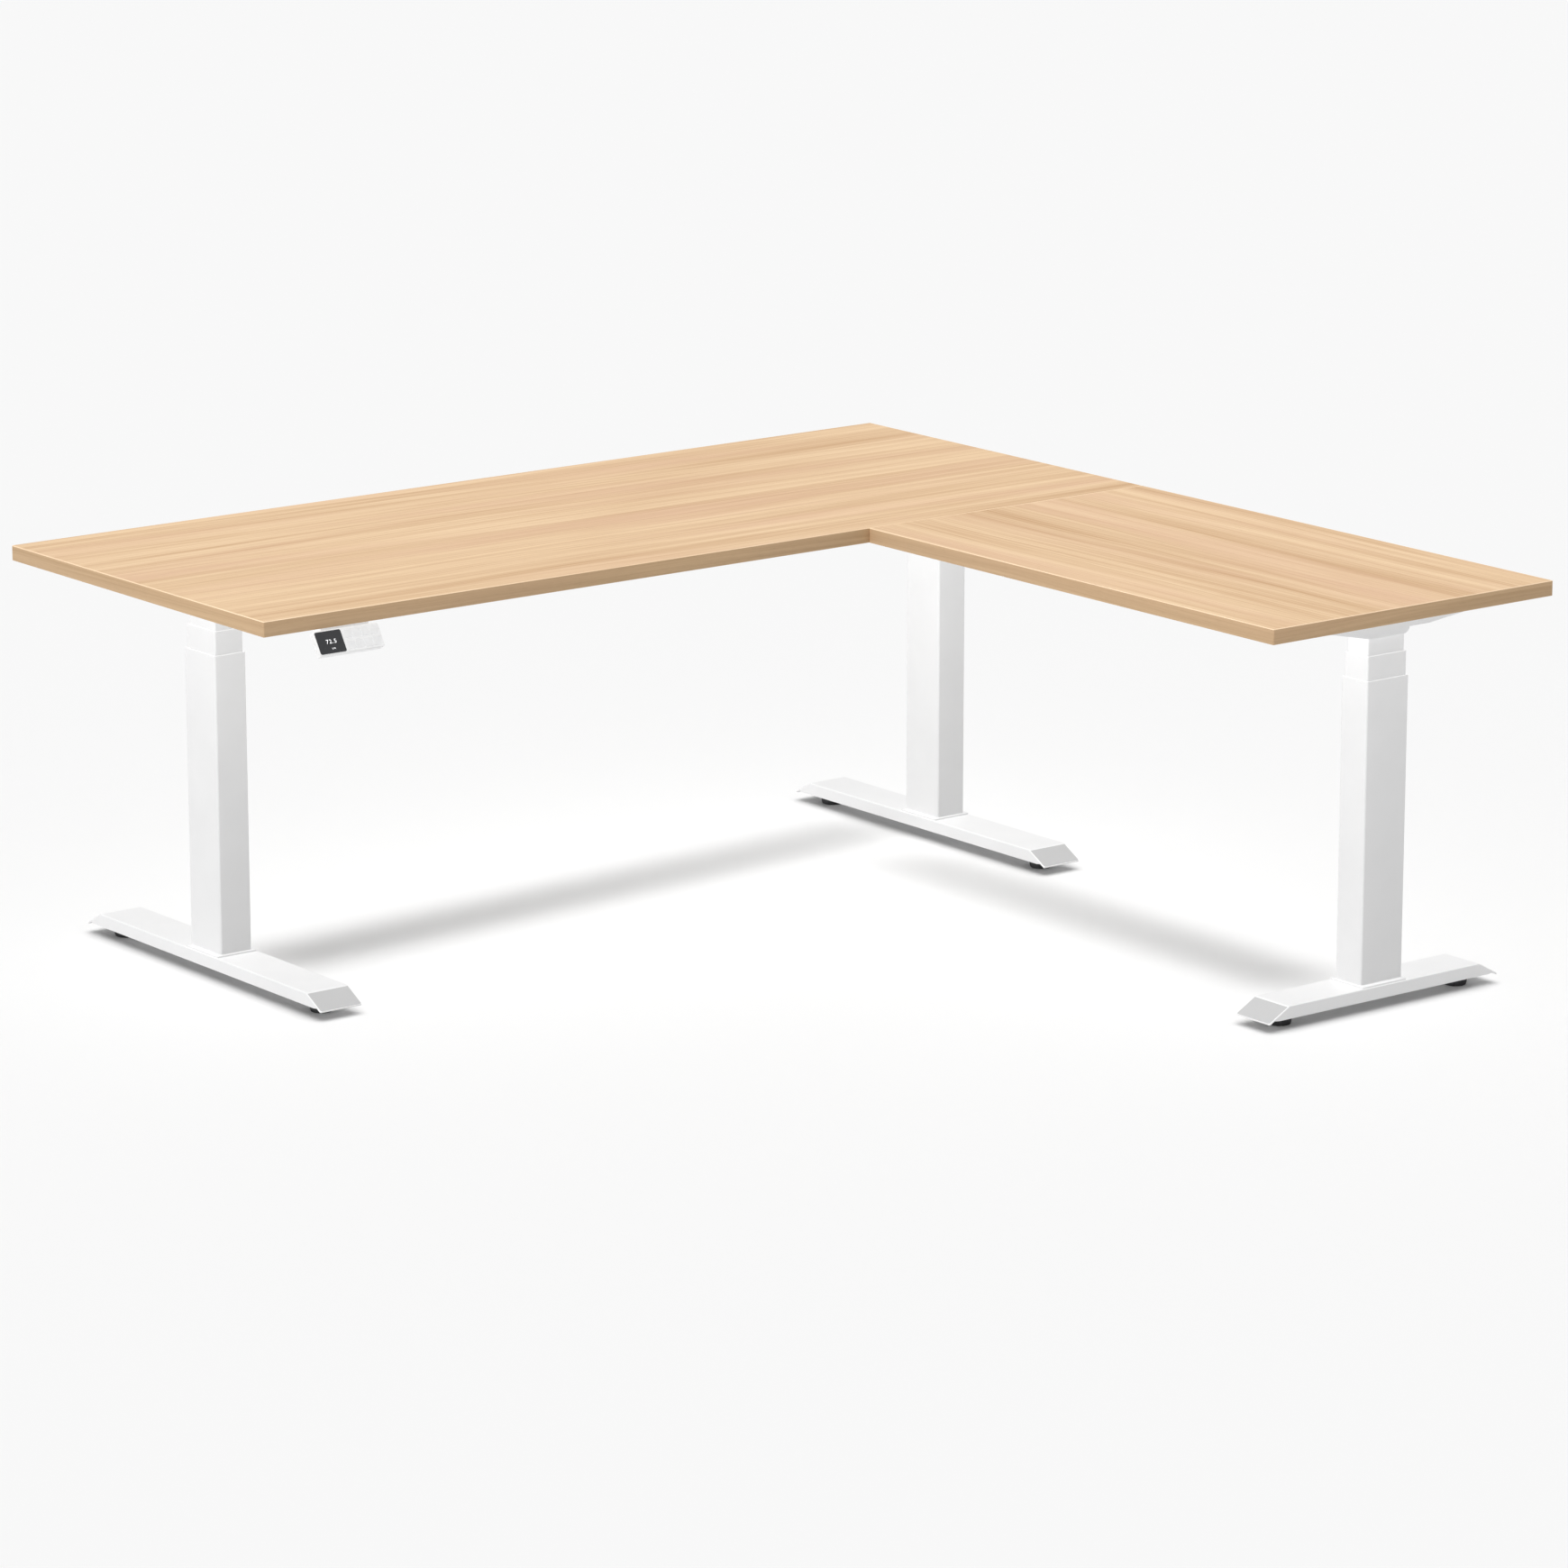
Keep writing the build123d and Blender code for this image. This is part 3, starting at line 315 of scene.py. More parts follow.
@dataclass
class Graph:
    """A material's node tree with one Principled shader, and short calls to add to it."""

    name: str
    material: bpy.types.Material = field(init=False)
    shader: bpy.types.Node = field(init=False)

    def __post_init__(self) -> None:
        """Start the material."""
        self.material = bpy.data.materials.new(self.name)
        self.material.use_nodes = True
        self.shader = self.material.node_tree.nodes["Principled BSDF"]

    def add(
        self, kind: str, values: dict[str | int, object] | None = None, **settings: object
    ) -> bpy.types.Node:
        """Add a node.

        Args:
            kind: The node's type name without its ShaderNode prefix.
            values: Constants or output sockets for its inputs, by name or number.
            **settings: Attributes of the node itself.

        Returns:
            The new node.
        """
        node = self.material.node_tree.nodes.new("ShaderNode" + kind)
        for key, value in settings.items():
            setattr(node, key, value)
        for key, value in (values or {}).items():
            self.put(node, key, value)
        return node

    def put(self, node: bpy.types.Node, key: str | int, value: object) -> None:
        """Set one input of a node to a constant, or link an output socket to it.

        Args:
            node: The node.
            key: The input's name or number.
            value: A constant or an output socket.
        """
        if isinstance(value, Socket):
            self.material.node_tree.links.new(value, node.inputs[key])
        else:
            node.inputs[key].default_value = value

    def math(self, operation: str, first: object, second: object = 0.0, clamp: bool = False) -> Socket:
        """The result of one Math node."""
        return self.add("Math", {0: first, 1: second}, operation=operation, use_clamp=clamp).outputs[0]

    def remap(self, value: object, low: float, high: float, to_low: float, to_high: float) -> Socket:
        """A value taken from one range to another and clamped there."""
        numbers = {0: value, 1: low, 2: high, 3: to_low, 4: to_high}
        return self.add("MapRange", numbers, clamp=True).outputs[0]

    def stretched(self, source: Socket, scale: tuple[float, float, float]) -> Socket:
        """Coordinates multiplied by one factor for each axis."""
        return self.add("Mapping", {"Vector": source, "Scale": scale}).outputs[0]

    def noise(self, vector: object, scale: float, detail: float = 2.0, rough: float = 0.5) -> Socket:
        """The value of one Noise texture."""
        values = {"Vector": vector, "Scale": scale, "Detail": detail, "Roughness": rough}
        return self.add("TexNoise", values).outputs[0]

    def grain(self, vector: Socket, along: float, across: float, detail: float, rough: float = 0.5) -> Socket:
        """Noise with so many features to the metre along u, and so many across it."""
        return self.noise(self.stretched(vector, (along, across, 1)), 1.0, detail, rough)

    def blend(self, factor: object, first: object, second: object, kind: str = "MIX") -> Socket:
        """Two colours mixed by a factor."""
        values = {0: factor, 6: first, 7: second}
        return self.add("Mix", values, data_type="RGBA", blend_type=kind).outputs[2]

    def mottle(self, pattern: Socket, low: float, colour: Colour, shade: float) -> Socket:
        """A colour that goes over into a darker shade of itself where a pattern goes from low to 0.7."""
        return self.blend(self.remap(pattern, low, 0.7, 0, 1), rgba(colour), rgba(colour, shade))

    def bump(self, height: object, strength: float, distance: float, under: object = None) -> Socket:
        """A normal bent by a height, on top of another normal where one is given.

        Args:
            height: The height that bends the normal.
            strength: How far it is followed, from 0 to 1.
            distance: Depth of the relief, in metres.
            under: The normal under it, if any.

        Returns:
            The bent normal.
        """
        values = {"Height": height, "Strength": strength, "Distance": distance}
        if under is not None:
            values["Normal"] = under
        return self.add("Bump", values).outputs[0]

    def place(self) -> Socket:
        """Object coordinates, in metres."""
        return self.add("TexCoord").outputs["Object"]

    def surface_place(self) -> Socket:
        """The piece's own UV map, in metres."""
        return self.add("UVMap", uv_map="grain").outputs[0]

    def finish(self, **values: object) -> bpy.types.Material:
        """Set the shader's inputs, with underscores for spaces, and give the material back.

        Returns:
            The finished material.
        """
        for key, value in values.items():
            self.put(self.shader, key.replace("_", " "), value)
        return self.material


def rgba(colour: Colour, shade: float = 1.0) -> tuple[float, float, float, float]:
    """A colour, multiplied by a shade, with full alpha."""
    return (*(shade * part for part in colour), 1.0)


@dataclass(frozen=True)
class OakLaminate:
    """Printed light oak: broad pale and pinkish streaks, fine threads, and short dark pores."""

    name: str
    light: Colour = (0.91, 0.67, 0.43)
    dark: Colour = (0.60, 0.37, 0.20)
    pink: Colour = (0.78, 0.51, 0.345)
    seed: float = 0.0

    def build(self) -> bpy.types.Material:
        """Make the material: u of its UV map runs along the grain.

        Returns:
            The material.
        """
        g = Graph(self.name)
        place = g.add("Mapping", {"Vector": g.surface_place(), "Location": (self.seed, self.seed * 0.37, 0)})
        uv = place.outputs[0]
        drift = g.grain(uv, 1.1, 5.0, 2.0)
        shifted = g.add("CombineXYZ", {1: g.math("MULTIPLY", drift, 0.035)}).outputs[0]
        wavy = g.add("VectorMath", {0: uv, 1: shifted}, operation="ADD").outputs[0]
        broad = g.grain(wavy, 0.45, 11.0, 2.0)
        streaks = g.grain(wavy, 0.9, 52.0, 2.5, 0.6)
        threads = g.grain(wavy, 2.2, 210.0, 2.0, 0.6)
        hairs = g.grain(wavy, 6.0, 720.0, 2.0, 0.6)
        blush = g.noise(g.stretched(wavy, (0.7, 7.0, 3)), 1.3, 2.0)
        tone = g.math("ADD", g.remap(broad, 0.36, 0.66, 0.0, 0.42), g.remap(streaks, 0.34, 0.68, -0.1, 0.36))
        tone = g.math("ADD", tone, g.remap(threads, 0.36, 0.68, -0.14, 0.3), True)
        colour = g.blend(tone, rgba(self.light), rgba(self.dark))
        colour = g.blend(g.remap(blush, 0.46, 0.68, 0.0, 0.55), colour, rgba(self.pink))
        colour = g.blend(g.remap(hairs, 0.56, 0.74, 0.0, 0.3), colour, rgba(self.dark))
        pore = g.remap(g.grain(wavy, 38.0, 1500.0, 1.0), 0.63, 0.72, 0.0, 1.0)
        colour = g.blend(g.math("MULTIPLY", pore, 0.22), colour, rgba(self.dark, 0.5))
        height = g.math("SUBTRACT", g.math("MULTIPLY", hairs, 0.5), pore)
        rough = g.remap(threads, 0.3, 0.7, 0.5, 0.6)
        normal = g.bump(height, 0.12, 0.0002)
        return g.finish(Base_Color=colour, Roughness=rough, Normal=normal, Specular_IOR_Level=0.25)


@dataclass(frozen=True)
class BalancePaper:
    """The pale grey balancing paper on the boards' underside, with a faint fibre."""

    name: str
    colour: Colour = (0.60, 0.59, 0.57)

    def build(self) -> bpy.types.Material:
        """Make the material.

        Returns:
            The material.
        """
        g = Graph(self.name)
        fibre = g.noise(g.stretched(g.place(), (90, 160, 90)), 1.0, 4.0, 0.6)
        colour = g.mottle(fibre, 0.35, self.colour, 0.8)
        return g.finish(Base_Color=colour, Roughness=0.6, Normal=g.bump(fibre, 0.15, 0.0002))


@dataclass(frozen=True)
class PowderCoat:
    """Baked powder on steel: an even colour with the fine orange-peel skin of the real thing."""

    name: str
    colour: Colour = (0.83, 0.83, 0.832)
    rough: float = 0.45

    def build(self) -> bpy.types.Material:
        """Make the material.

        Returns:
            The material.
        """
        g = Graph(self.name)
        place = g.place()
        peel = g.noise(place, 900.0, 2.0, 0.5)
        grain = g.noise(place, 3200.0, 1.0)
        cloud = g.noise(place, 14.0, 3.0)
        colour = g.mottle(cloud, 0.3, self.colour, 0.975)
        rough = g.remap(grain, 0.3, 0.7, self.rough - 0.05, self.rough + 0.07)
        normal = g.bump(grain, 0.06, 0.00005, g.bump(peel, 0.12, 0.0001))
        return g.finish(Base_Color=colour, Roughness=rough, Normal=normal, Specular_IOR_Level=0.25)


@dataclass(frozen=True)
class Moulding:
    """Moulded plastic with a fine spark-eroded grain."""

    name: str
    colour: Colour
    rough: float = 0.5
    grain_size: float = 0.0006
    grain_depth: float = 0.2

    def build(self) -> bpy.types.Material:
        """Make the material.

        Returns:
            The material.
        """
        g = Graph(self.name)
        place = g.place()
        cells = g.add("TexVoronoi", {"Vector": place, "Scale": 1 / self.grain_size}).outputs[0]
        haze = g.noise(place, 120.0, 3.0)
        colour = g.mottle(haze, 0.3, self.colour, 0.94)
        rough = g.remap(haze, 0.3, 0.7, self.rough - 0.04, self.rough + 0.06)
        return g.finish(Base_Color=colour, Roughness=rough, Normal=g.bump(cells, self.grain_depth, 0.00006))


@dataclass(frozen=True)
class BareSteel:
    """Plated or rolled steel with fine turning marks round its axis of make."""

    name: str
    colour: Colour = (0.62, 0.63, 0.65)
    rough: float = 0.32

    def build(self) -> bpy.types.Material:
        """Make the material.

        Returns:
            The material.
        """
        g = Graph(self.name)
        place = g.place()
        marks = g.noise(g.stretched(place, (300, 300, 2600)), 1.0, 3.0, 0.6)
        stain = g.noise(place, 70.0, 3.0)
        colour = g.mottle(stain, 0.35, self.colour, 0.82)
        rough = g.remap(marks, 0.3, 0.7, self.rough - 0.08, self.rough + 0.12)
        return g.finish(Base_Color=colour, Roughness=rough, Metallic=1.0, Normal=g.bump(marks, 0.12, 0.00006))


@dataclass(frozen=True)
class DarkWindow:
    """The smooth dark window over the display."""

    name: str
    colour: Colour = (0.042, 0.043, 0.046)

    def build(self) -> bpy.types.Material:
        """Make the material: faint smears only change its gloss.

        Returns:
            The material.
        """
        g = Graph(self.name)
        smear = g.noise(g.stretched(g.place(), (60, 160, 160)), 1.0, 3.0)
        rough = g.remap(smear, 0.35, 0.7, 0.3, 0.42)
        return g.finish(Base_Color=rgba(self.colour), Roughness=rough, Coat_Weight=0.15)


@dataclass(frozen=True)
class LitInk:
    """White print or light: a plain colour with a little light of its own, a painted glow where it is print.
    """

    name: str
    colour: Colour = (0.9, 0.91, 0.92)
    glow: float = 0.0

    def build(self) -> bpy.types.Material:
        """Make the material, with a faint unevenness in the print.

        Returns:
            The material.
        """
        g = Graph(self.name)
        patch = g.noise(g.place(), 2500.0, 1.0)
        colour = g.mottle(patch, 0.3, self.colour, 0.95)
        return g.finish(
            Base_Color=colour, Roughness=0.5, Emission_Color=rgba(self.colour), Emission_Strength=self.glow
        )


@dataclass(frozen=True)
class StudioFloor:
    """The pale, seamless floor."""

    name: str
    colour: Colour = (0.9, 0.9, 0.9)

    def build(self) -> bpy.types.Material:
        """Make the material."""
        return Graph(self.name).finish(Base_Color=rgba(self.colour), Roughness=0.9, Specular_IOR_Level=0.0)


@dataclass
class Finishes:
    """Every material of the desk, made once."""

    oak_top: bpy.types.Material
    oak_arris: bpy.types.Material
    oak_band: bpy.types.Material
    oak_return: bpy.types.Material
    oak_return_band: bpy.types.Material
    balance: bpy.types.Material
    paint: bpy.types.Material
    shaded_paint: bpy.types.Material
    pad: bpy.types.Material
    shell: bpy.types.Material
    key: bpy.types.Material
    window: bpy.types.Material
    print_white: bpy.types.Material
    lit_white: bpy.types.Material
    glide: bpy.types.Material
    black: bpy.types.Material
    steel: bpy.types.Material
    spindle: bpy.types.Material

    @classmethod
    def made(cls) -> Finishes:
        """Build every material.

        Returns:
            The set of materials.
        """
        # The band colours are a darker copy of the oak: painted shade for the edge band's side faces. The
        # arris colours are a lighter copy: a painted highlight on its upward-looking rounded edge.
        band = {"light": (0.66, 0.46, 0.27), "dark": (0.45, 0.29, 0.155), "pink": (0.56, 0.37, 0.225)}
        arris = {"light": (0.98, 0.77, 0.54), "dark": (0.82, 0.58, 0.36), "pink": (0.9, 0.65, 0.45)}
        return cls(
            oak_top=OakLaminate("oak_top").build(),
            oak_arris=OakLaminate("oak_arris", seed=1.7, **arris).build(),
            oak_band=OakLaminate("oak_band", seed=3.1, **band).build(),
            oak_return=OakLaminate("oak_return", seed=7.7).build(),
            oak_return_band=OakLaminate("oak_return_band", seed=5.3, **band).build(),
            balance=BalancePaper("balance_sheet").build(),
            paint=PowderCoat("white_powder_coat").build(),
            # A darker copy of the white powder coat: painted shade for the feet's sloping end plates.
            shaded_paint=PowderCoat("grey_powder_coat", (0.52, 0.52, 0.522), 0.5).build(),
            pad=Moulding("black_pad_plastic", (0.022, 0.022, 0.024), 0.55, 0.0009).build(),
            shell=Moulding("white_shell_plastic", (0.9, 0.9, 0.9), 0.5, 0.0005, 0.12).build(),
            key=Moulding("grey_key_plastic", (0.87, 0.872, 0.875), 0.5, 0.0004, 0.12).build(),
            window=DarkWindow("dark_window").build(),
            # The key print's faint glow is painted light: printed ink gives none.
            print_white=LitInk("white_print", glow=0.05).build(),
            lit_white=LitInk("lit_digits", glow=0.75).build(),
            glide=Moulding("glide_plastic", (0.85, 0.85, 0.85), 0.4).build(),
            black=Moulding("black_housing", (0.03, 0.03, 0.032), 0.45).build(),
            steel=BareSteel("zinc_steel").build(),
            spindle=BareSteel("spindle_steel", (0.5, 0.5, 0.52), 0.25).build(),
        )


# ---------------------------------------------------------------- pieces


@dataclass(frozen=True)
class Workshop:
    """Turns surfaces into finished pieces of the desk."""

    frame: dict
    finishes: Finishes

    def piece(
        self,
        name: str,
        surface: Surface,
        body: str,
        slot: str,
        finish: bpy.types.Material,
        shading: Shading = Shading.SMOOTH,
        replaces: tuple[str, ...] = (),
        crown: bpy.types.Material | None = None,
    ) -> bpy.types.Object:
        """Make one piece that rides on a body.

        Args:
            name: The piece's name.
            surface: Its shape, in the row frame.
            body: The body that it moves with.
            slot: The record's material slot; not used.
            finish: Its material.
            shading: Whether its faces blend into each other below 35 degrees.
            replaces: The nodes that it stands for.
            crown: The material of the faces that look upwards, where it differs; the edge band gives them a
                painted highlight.

        Returns:
            The new object.
        """
        mesh = bpy.data.meshes.new(name)
        mesh.from_pydata(surface.points.tolist(), [], surface.faces)
        if surface.uvs is not None:
            layer = mesh.uv_layers.new(name="grain")
            layer.data.foreach_set("uv", np.asarray(surface.uvs, np.float32).ravel())
        mesh.materials.append(finish)
        mesh.validate()
        if crown is not None:
            mesh.materials.append(crown)
            normals = np.zeros(len(mesh.polygons) * 3, np.float32)
            mesh.polygons.foreach_get("normal", normals)
            upward = (normals.reshape(-1, 3)[:, 2] > UPWARD_FROM).astype(np.int32)
            mesh.polygons.foreach_set("material_index", upward)
        piece = bpy.data.objects.new(name, mesh)
        bpy.context.scene.collection.objects.link(piece)
        if shading is Shading.SMOOTH:
            mesh.shade_smooth()
            mesh.set_sharp_from_angle(angle=SHARP_FROM)
        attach(piece, body)
        if replaces:
            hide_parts(*replaces)
        LOG.info("%s: %d faces on %s", name, len(mesh.polygons), body)
        return piece

    def dress(self, node: str, finish: bpy.types.Material) -> None:
        """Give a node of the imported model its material.

        Args:
            node: The node's name.
            finish: Its material.
        """
        mesh = self.frame["nodes"][node].data
        mesh.materials.clear()
        mesh.materials.append(finish)
        LOG.info("%s: dressed in %s", node, finish.name)

    def box(self, node: str) -> tuple[np.ndarray, np.ndarray]:
        """A node's lowest and highest corners."""
        low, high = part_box(node)
        return np.array(low), np.array(high)


class Grain(Enum):
    """The direction that a board's grain runs in."""

    ALONG_X = 0
    ALONG_Y = 1


@dataclass
class Board:
    """A desktop: a laminated panel inside a glued edge band, with balancing paper under it."""

    node: str
    grain: Grain
    band: float = 2.0 * MM
    arris: float = 1.5 * MM
    low_arris: float = 0.7 * MM
    joint_ease: float = 0.12 * MM
    sheet: float = 0.6 * MM
    sheet_inset: float = 4.0 * MM
    sheet_lap: float = 0.3 * MM
    skin: float = 0.02 * MM

    def build(self, shop: Workshop) -> None:
        """Make the panel, its edge band and the balancing sheet under it.

        Args:
            shop: Where the pieces are made.
        """
        low, high = shop.box(self.node)
        middle, half = (low + high) / 2, (high - low) / 2
        place = at(middle[0], middle[1])
        finishes = shop.finishes
        tops = {Grain.ALONG_X: finishes.oak_top, Grain.ALONG_Y: finishes.oak_return}
        # The band finishes are darker copies of the oak: painted shade for the band's side faces.
        bands = {Grain.ALONG_X: finishes.oak_band, Grain.ALONG_Y: finishes.oak_return_band}
        panel = self.panel(half, low[2], high[2]).moved(place)
        slot = "light_oak_laminate"
        shop.piece(f"{self.node}_panel", panel, "top", slot, tops[self.grain], replaces=(self.node,))
        strip = self.edge_band(half, low[2], high[2]).moved(place)
        # Faces of the band that look upwards take the lighter oak: a painted highlight on the arris.
        shop.piece(
            f"{self.node}_edge_band", strip, "top", slot, bands[self.grain], crown=finishes.oak_arris
        )
        rim = Rim(half[0] - self.sheet_inset, half[1] - self.sheet_inset, 1)
        sheet = rim.sweep(np.array([[0, low[2] - self.skin], [self.sheet_lap, low[2] + self.sheet]]))
        shop.piece(
            f"{self.node}_balance_sheet", sheet.moved(place), "top", slot, finishes.balance, Shading.FLAT
        )

    def panel(self, half: np.ndarray, low: float, high: float) -> Surface:
        """The panel up to the band, its upper edge eased; (u, v) is its plan, u along the grain.

        Args:
            half: Half the width and depth of the board.
            low: Height of its lower face.
            high: Height of its upper face.

        Returns:
            The closed surface.
        """
        rim = Rim(half[0] - self.band - self.joint_ease, half[1] - self.band - self.joint_ease, 1)
        ease = self.joint_ease
        profile = np.array([[0, low + ease], [ease, low + 2 * ease], [ease, high - ease], [0, high]])
        surface = rim.sweep(profile)
        corners = np.concatenate([surface.points[list(face), :2] for face in surface.faces])
        uvs = corners if self.grain is Grain.ALONG_X else corners[:, ::-1]
        return Surface(surface.points, surface.faces, uvs)

    def edge_band(self, half: np.ndarray, low: float, high: float) -> Surface:
        """The band: a strip with rounded arrises carried round the panel; u runs along it.

        Args:
            half: Half the width and depth of the board.
            low: Height of its lower face.
            high: Height of its upper face.

        Returns:
            The closed surface.
        """
        rim = Rim(half[0] - self.band, half[1] - self.band, 4)
        out = self.band
        lower = arc((out - self.low_arris, low + self.low_arris), self.low_arris, -90, 0, 3)
        upper = arc((out - self.arris, high - self.arris), self.arris, 0, 90, 6)
        inner = np.array([[0.1 * MM, high], [0, high - 0.1 * MM], [0, low]])
        return rim.sweep(np.vstack([lower, upper, inner]), closed=True)


@dataclass(frozen=True)
class Spindle:
    """A threaded spindle, and its plain head as rows of (radius, depth below the upper end)."""

    part: str
    radius: float
    groove: float
    head_length: float
    head: tuple[tuple[float, float], ...]
    head_steps: int
    pitch: float = 8.0 * MM

    def build(self, shop: Workshop, leg: str) -> None:
        """Make the thread and the head.

        Args:
            shop: Where the pieces are made.
            leg: The leg that it stands in.
        """
        node = f"{leg}_{self.part}"
        low, high = shop.box(node)
        middle = (low + high) / 2
        thread = threaded_rod(self.radius, self.groove, self.pitch, low[2], high[2] - self.head_length)
        profile = np.array([[radius, high[2] - depth] for radius, depth in self.head])
        whole = joined([thread, Rim(steps=self.head_steps).sweep(profile)]).moved(at(middle[0], middle[1]))
        shop.piece(f"{node}_thread", whole, node, "spindle_steel", shop.finishes.spindle, replaces=(node,))


@dataclass(frozen=True)
class Pad:
    """A levelling pad: a ribbed disc, a round neck and a threaded stud."""

    node: str
    ribs: int = 36
    rib_depth: float = 0.35 * MM
    disc_height: float = 15.0 * MM
    neck_radius: float = 7.0 * MM
    neck_top: float = 19.0 * MM
    chamfer: float = 0.4 * MM
    lap: float = 0.5 * MM
    stud_radius: float = 3.95 * MM
    stud_groove: float = 0.45 * MM
    stud_pitch: float = 1.25 * MM

    def build(self, shop: Workshop) -> None:
        """Make the disc with its neck, and the stud.

        Args:
            shop: Where the pieces are made.
        """
        low, high = shop.box(self.node)
        middle, disc = (low + high) / 2, self.ribbed_disc((high - low)[0] / 2)
        place = at(middle[0], middle[1])
        neck = Rim(steps=6).sweep(np.array([
            [self.neck_radius, self.disc_height - self.lap],
            [self.neck_radius, self.neck_top - self.chamfer],
            [self.neck_radius - self.chamfer, self.neck_top],
        ]))
        plastic, steel = shop.finishes.pad, shop.finishes.steel
        body, black = joined([disc, neck]).moved(place), "black_pad_plastic"
        shop.piece(f"{self.node}_disc", body, self.node, black, plastic, replaces=(self.node,))
        foot = self.neck_top - self.lap
        stud = threaded_rod(self.stud_radius, self.stud_groove, self.stud_pitch, foot, high[2])
        shop.piece(f"{self.node}_stud", stud.moved(place), self.node, "zinc_plated_steel", steel)

    def ribbed_disc(self, radius: float) -> Surface:
        """A disc whose rim is scalloped for grip.

        The distance from the axis is the profile's, less the rib depth times the absolute sine of
        half the rib count times the angle, and only between the foot ring and the upper chamfer.

        Args:
            radius: Radius of the disc.

        Returns:
            The closed surface.
        """
        height, hub = self.disc_height, 0.2 * MM
        profile = np.array([
            [hub, 0.0],
            [radius - 3.4 * MM, 0.0],
            [radius - 2.4 * MM, 0.6 * MM],
            [radius - 1.9 * MM, 2.2 * MM],
            [radius - 1.4 * MM, 3.4 * MM],
            [radius - 0.2 * MM, height - 3 * MM],
            [radius - 0.6 * MM, height - 1 * MM],
            [radius - 1.8 * MM, height],
            [hub, height + 0.4 * MM],
        ])
        ribbed = np.array([0, 0, 0, 0, 1, 1, 0.4, 0, 0])
        around, rows = self.ribs * 4, len(profile)
        angle = np.linspace(0, 2 * math.pi, around, endpoint=False)[:, None]
        out = profile[None, :, 0] - self.rib_depth * ribbed[None, :] * np.abs(np.sin(self.ribs / 2 * angle))
        rise = np.broadcast_to(profile[None, :, 1], out.shape)
        points = np.stack([out * np.cos(angle), out * np.sin(angle), rise], axis=2).reshape(-1, 3)
        return Surface(points, face_list(quads(around, rows, True, False)) + caps(around, rows))


@dataclass
class Leg:
    """One leg: its columns, spindles, pads and painted sheet metal."""

    name: str
    pads: tuple[str, str]
    wall: float = 1.5 * MM
    corner: float = 4.0 * MM
    corner_step: float = 0.7 * MM
    rim_ease: float = 1.2 * MM
    plate_thickness: float = 3.0 * MM
    plate_corner: float = 3.0 * MM
    plate_ease: float = 0.5 * MM
    plate_low_ease: float = 0.2 * MM
    weld: float = 1.1 * MM
    weld_lap: float = 0.2 * MM
    nut_radii: tuple[float, float] = (16.5 * MM, 13.0 * MM)
    nut_top: float = 405.0 * MM
    guide_radii: tuple[float, float] = (20.0 * MM, 17.5 * MM)
    guide_lift: float = 2.0 * MM
    guide_top: float = 470.0 * MM
    end_run: float = 42.0 * MM
    end_drop: float = 22.9 * MM
    skin_corner: float = 3.2 * MM
    skin_tip_gap: float = 0.9 * MM
    skin_side_gap: float = 1.5 * MM
    skin: float = 0.14 * MM
    skin_lift: float = 0.02 * MM
    spindles: tuple[Spindle, ...] = (
        Spindle(
            "drive_spindle", 5.95 * MM, 0.7 * MM, 11 * MM,
            ((9.4 * MM, 11.7 * MM), (10 * MM, 11 * MM), (10 * MM, 0.0)), 6,
        ),
        Spindle("hollow_spindle", 9.95 * MM, 0.9 * MM, 6 * MM, ((15 * MM, 6 * MM), (15 * MM, 0.0)), 8),
    )

    def build(self, shop: Workshop) -> None:
        """Make or dress every piece of the leg.

        Args:
            shop: Where the pieces are made.
        """
        self.build_columns(shop)
        for spindle in self.spindles:
            spindle.build(shop, self.name)
        for end in self.pads:
            Pad(f"{self.name}_{end}_pad").build(shop)
        self.build_foot_ends(shop)
        paint, glide = shop.finishes.paint, shop.finishes.glide
        dressed = {
            "foot": paint, "leg_head": paint, "outer_glides": glide, "middle_glides": glide,
            "gear_motor": shop.finishes.black, "foot_bolts": shop.finishes.steel,
        }
        for part, finish in dressed.items():
            shop.dress(f"{self.name}_{part}", finish)

    def build_columns(self, shop: Workshop) -> None:
        """Make the three column tubes, the base plate, its weld and the steel pipes inside.

        Args:
            shop: Where the pieces are made.
        """
        low, high = shop.box(f"{self.name}_outer_tube")
        middle_low, middle_high = shop.box(f"{self.name}_middle_tube")
        inner_low, inner_high = shop.box(f"{self.name}_inner_tube")
        centre, plate_top = (low + high) / 2, low[2] + self.plate_thickness
        middle_half, inner_half = ((middle_high - middle_low) / 2)[:2], ((inner_high - inner_low) / 2)[:2]
        outer_half = middle_half + (middle_half - inner_half)[0]
        corners = [self.corner - stage * self.corner_step for stage in range(3)]
        base, middle, top = f"{self.name}_base", f"{self.name}_middle", "top"
        paint, steel = shop.finishes.paint, shop.finishes.steel
        guide_foot = middle_low[2] + self.guide_lift
        made = (
            (
                "outer_column", self.tube(outer_half, corners[0], plate_top, high[2]),
                base, paint, "outer_tube",
            ),
            ("base_plate", self.base_plate((high - low) / 2, low[2], plate_top), base, paint, None),
            ("column_weld", self.weld_bead(outer_half, plate_top), base, paint, None),
            ("nut_tube", self.pipe(*self.nut_radii, plate_top, self.nut_top), base, steel, None),
            (
                "middle_column", self.tube(middle_half, corners[1], middle_low[2], middle_high[2]),
                middle, paint, "middle_tube",
            ),
            ("guide_tube", self.pipe(*self.guide_radii, guide_foot, self.guide_top), middle, steel, None),
            (
                "inner_column", self.tube(inner_half, corners[2], inner_low[2], inner_high[2]),
                top, paint, "inner_tube",
            ),
        )
        place, slot = at(centre[0], centre[1]), "white_powder_coat"
        for part, surface, body, finish, stood_for in made:
            nodes = (f"{self.name}_{stood_for}",) if stood_for else ()
            shop.piece(f"{self.name}_{part}", surface.moved(place), body, slot, finish, replaces=nodes)

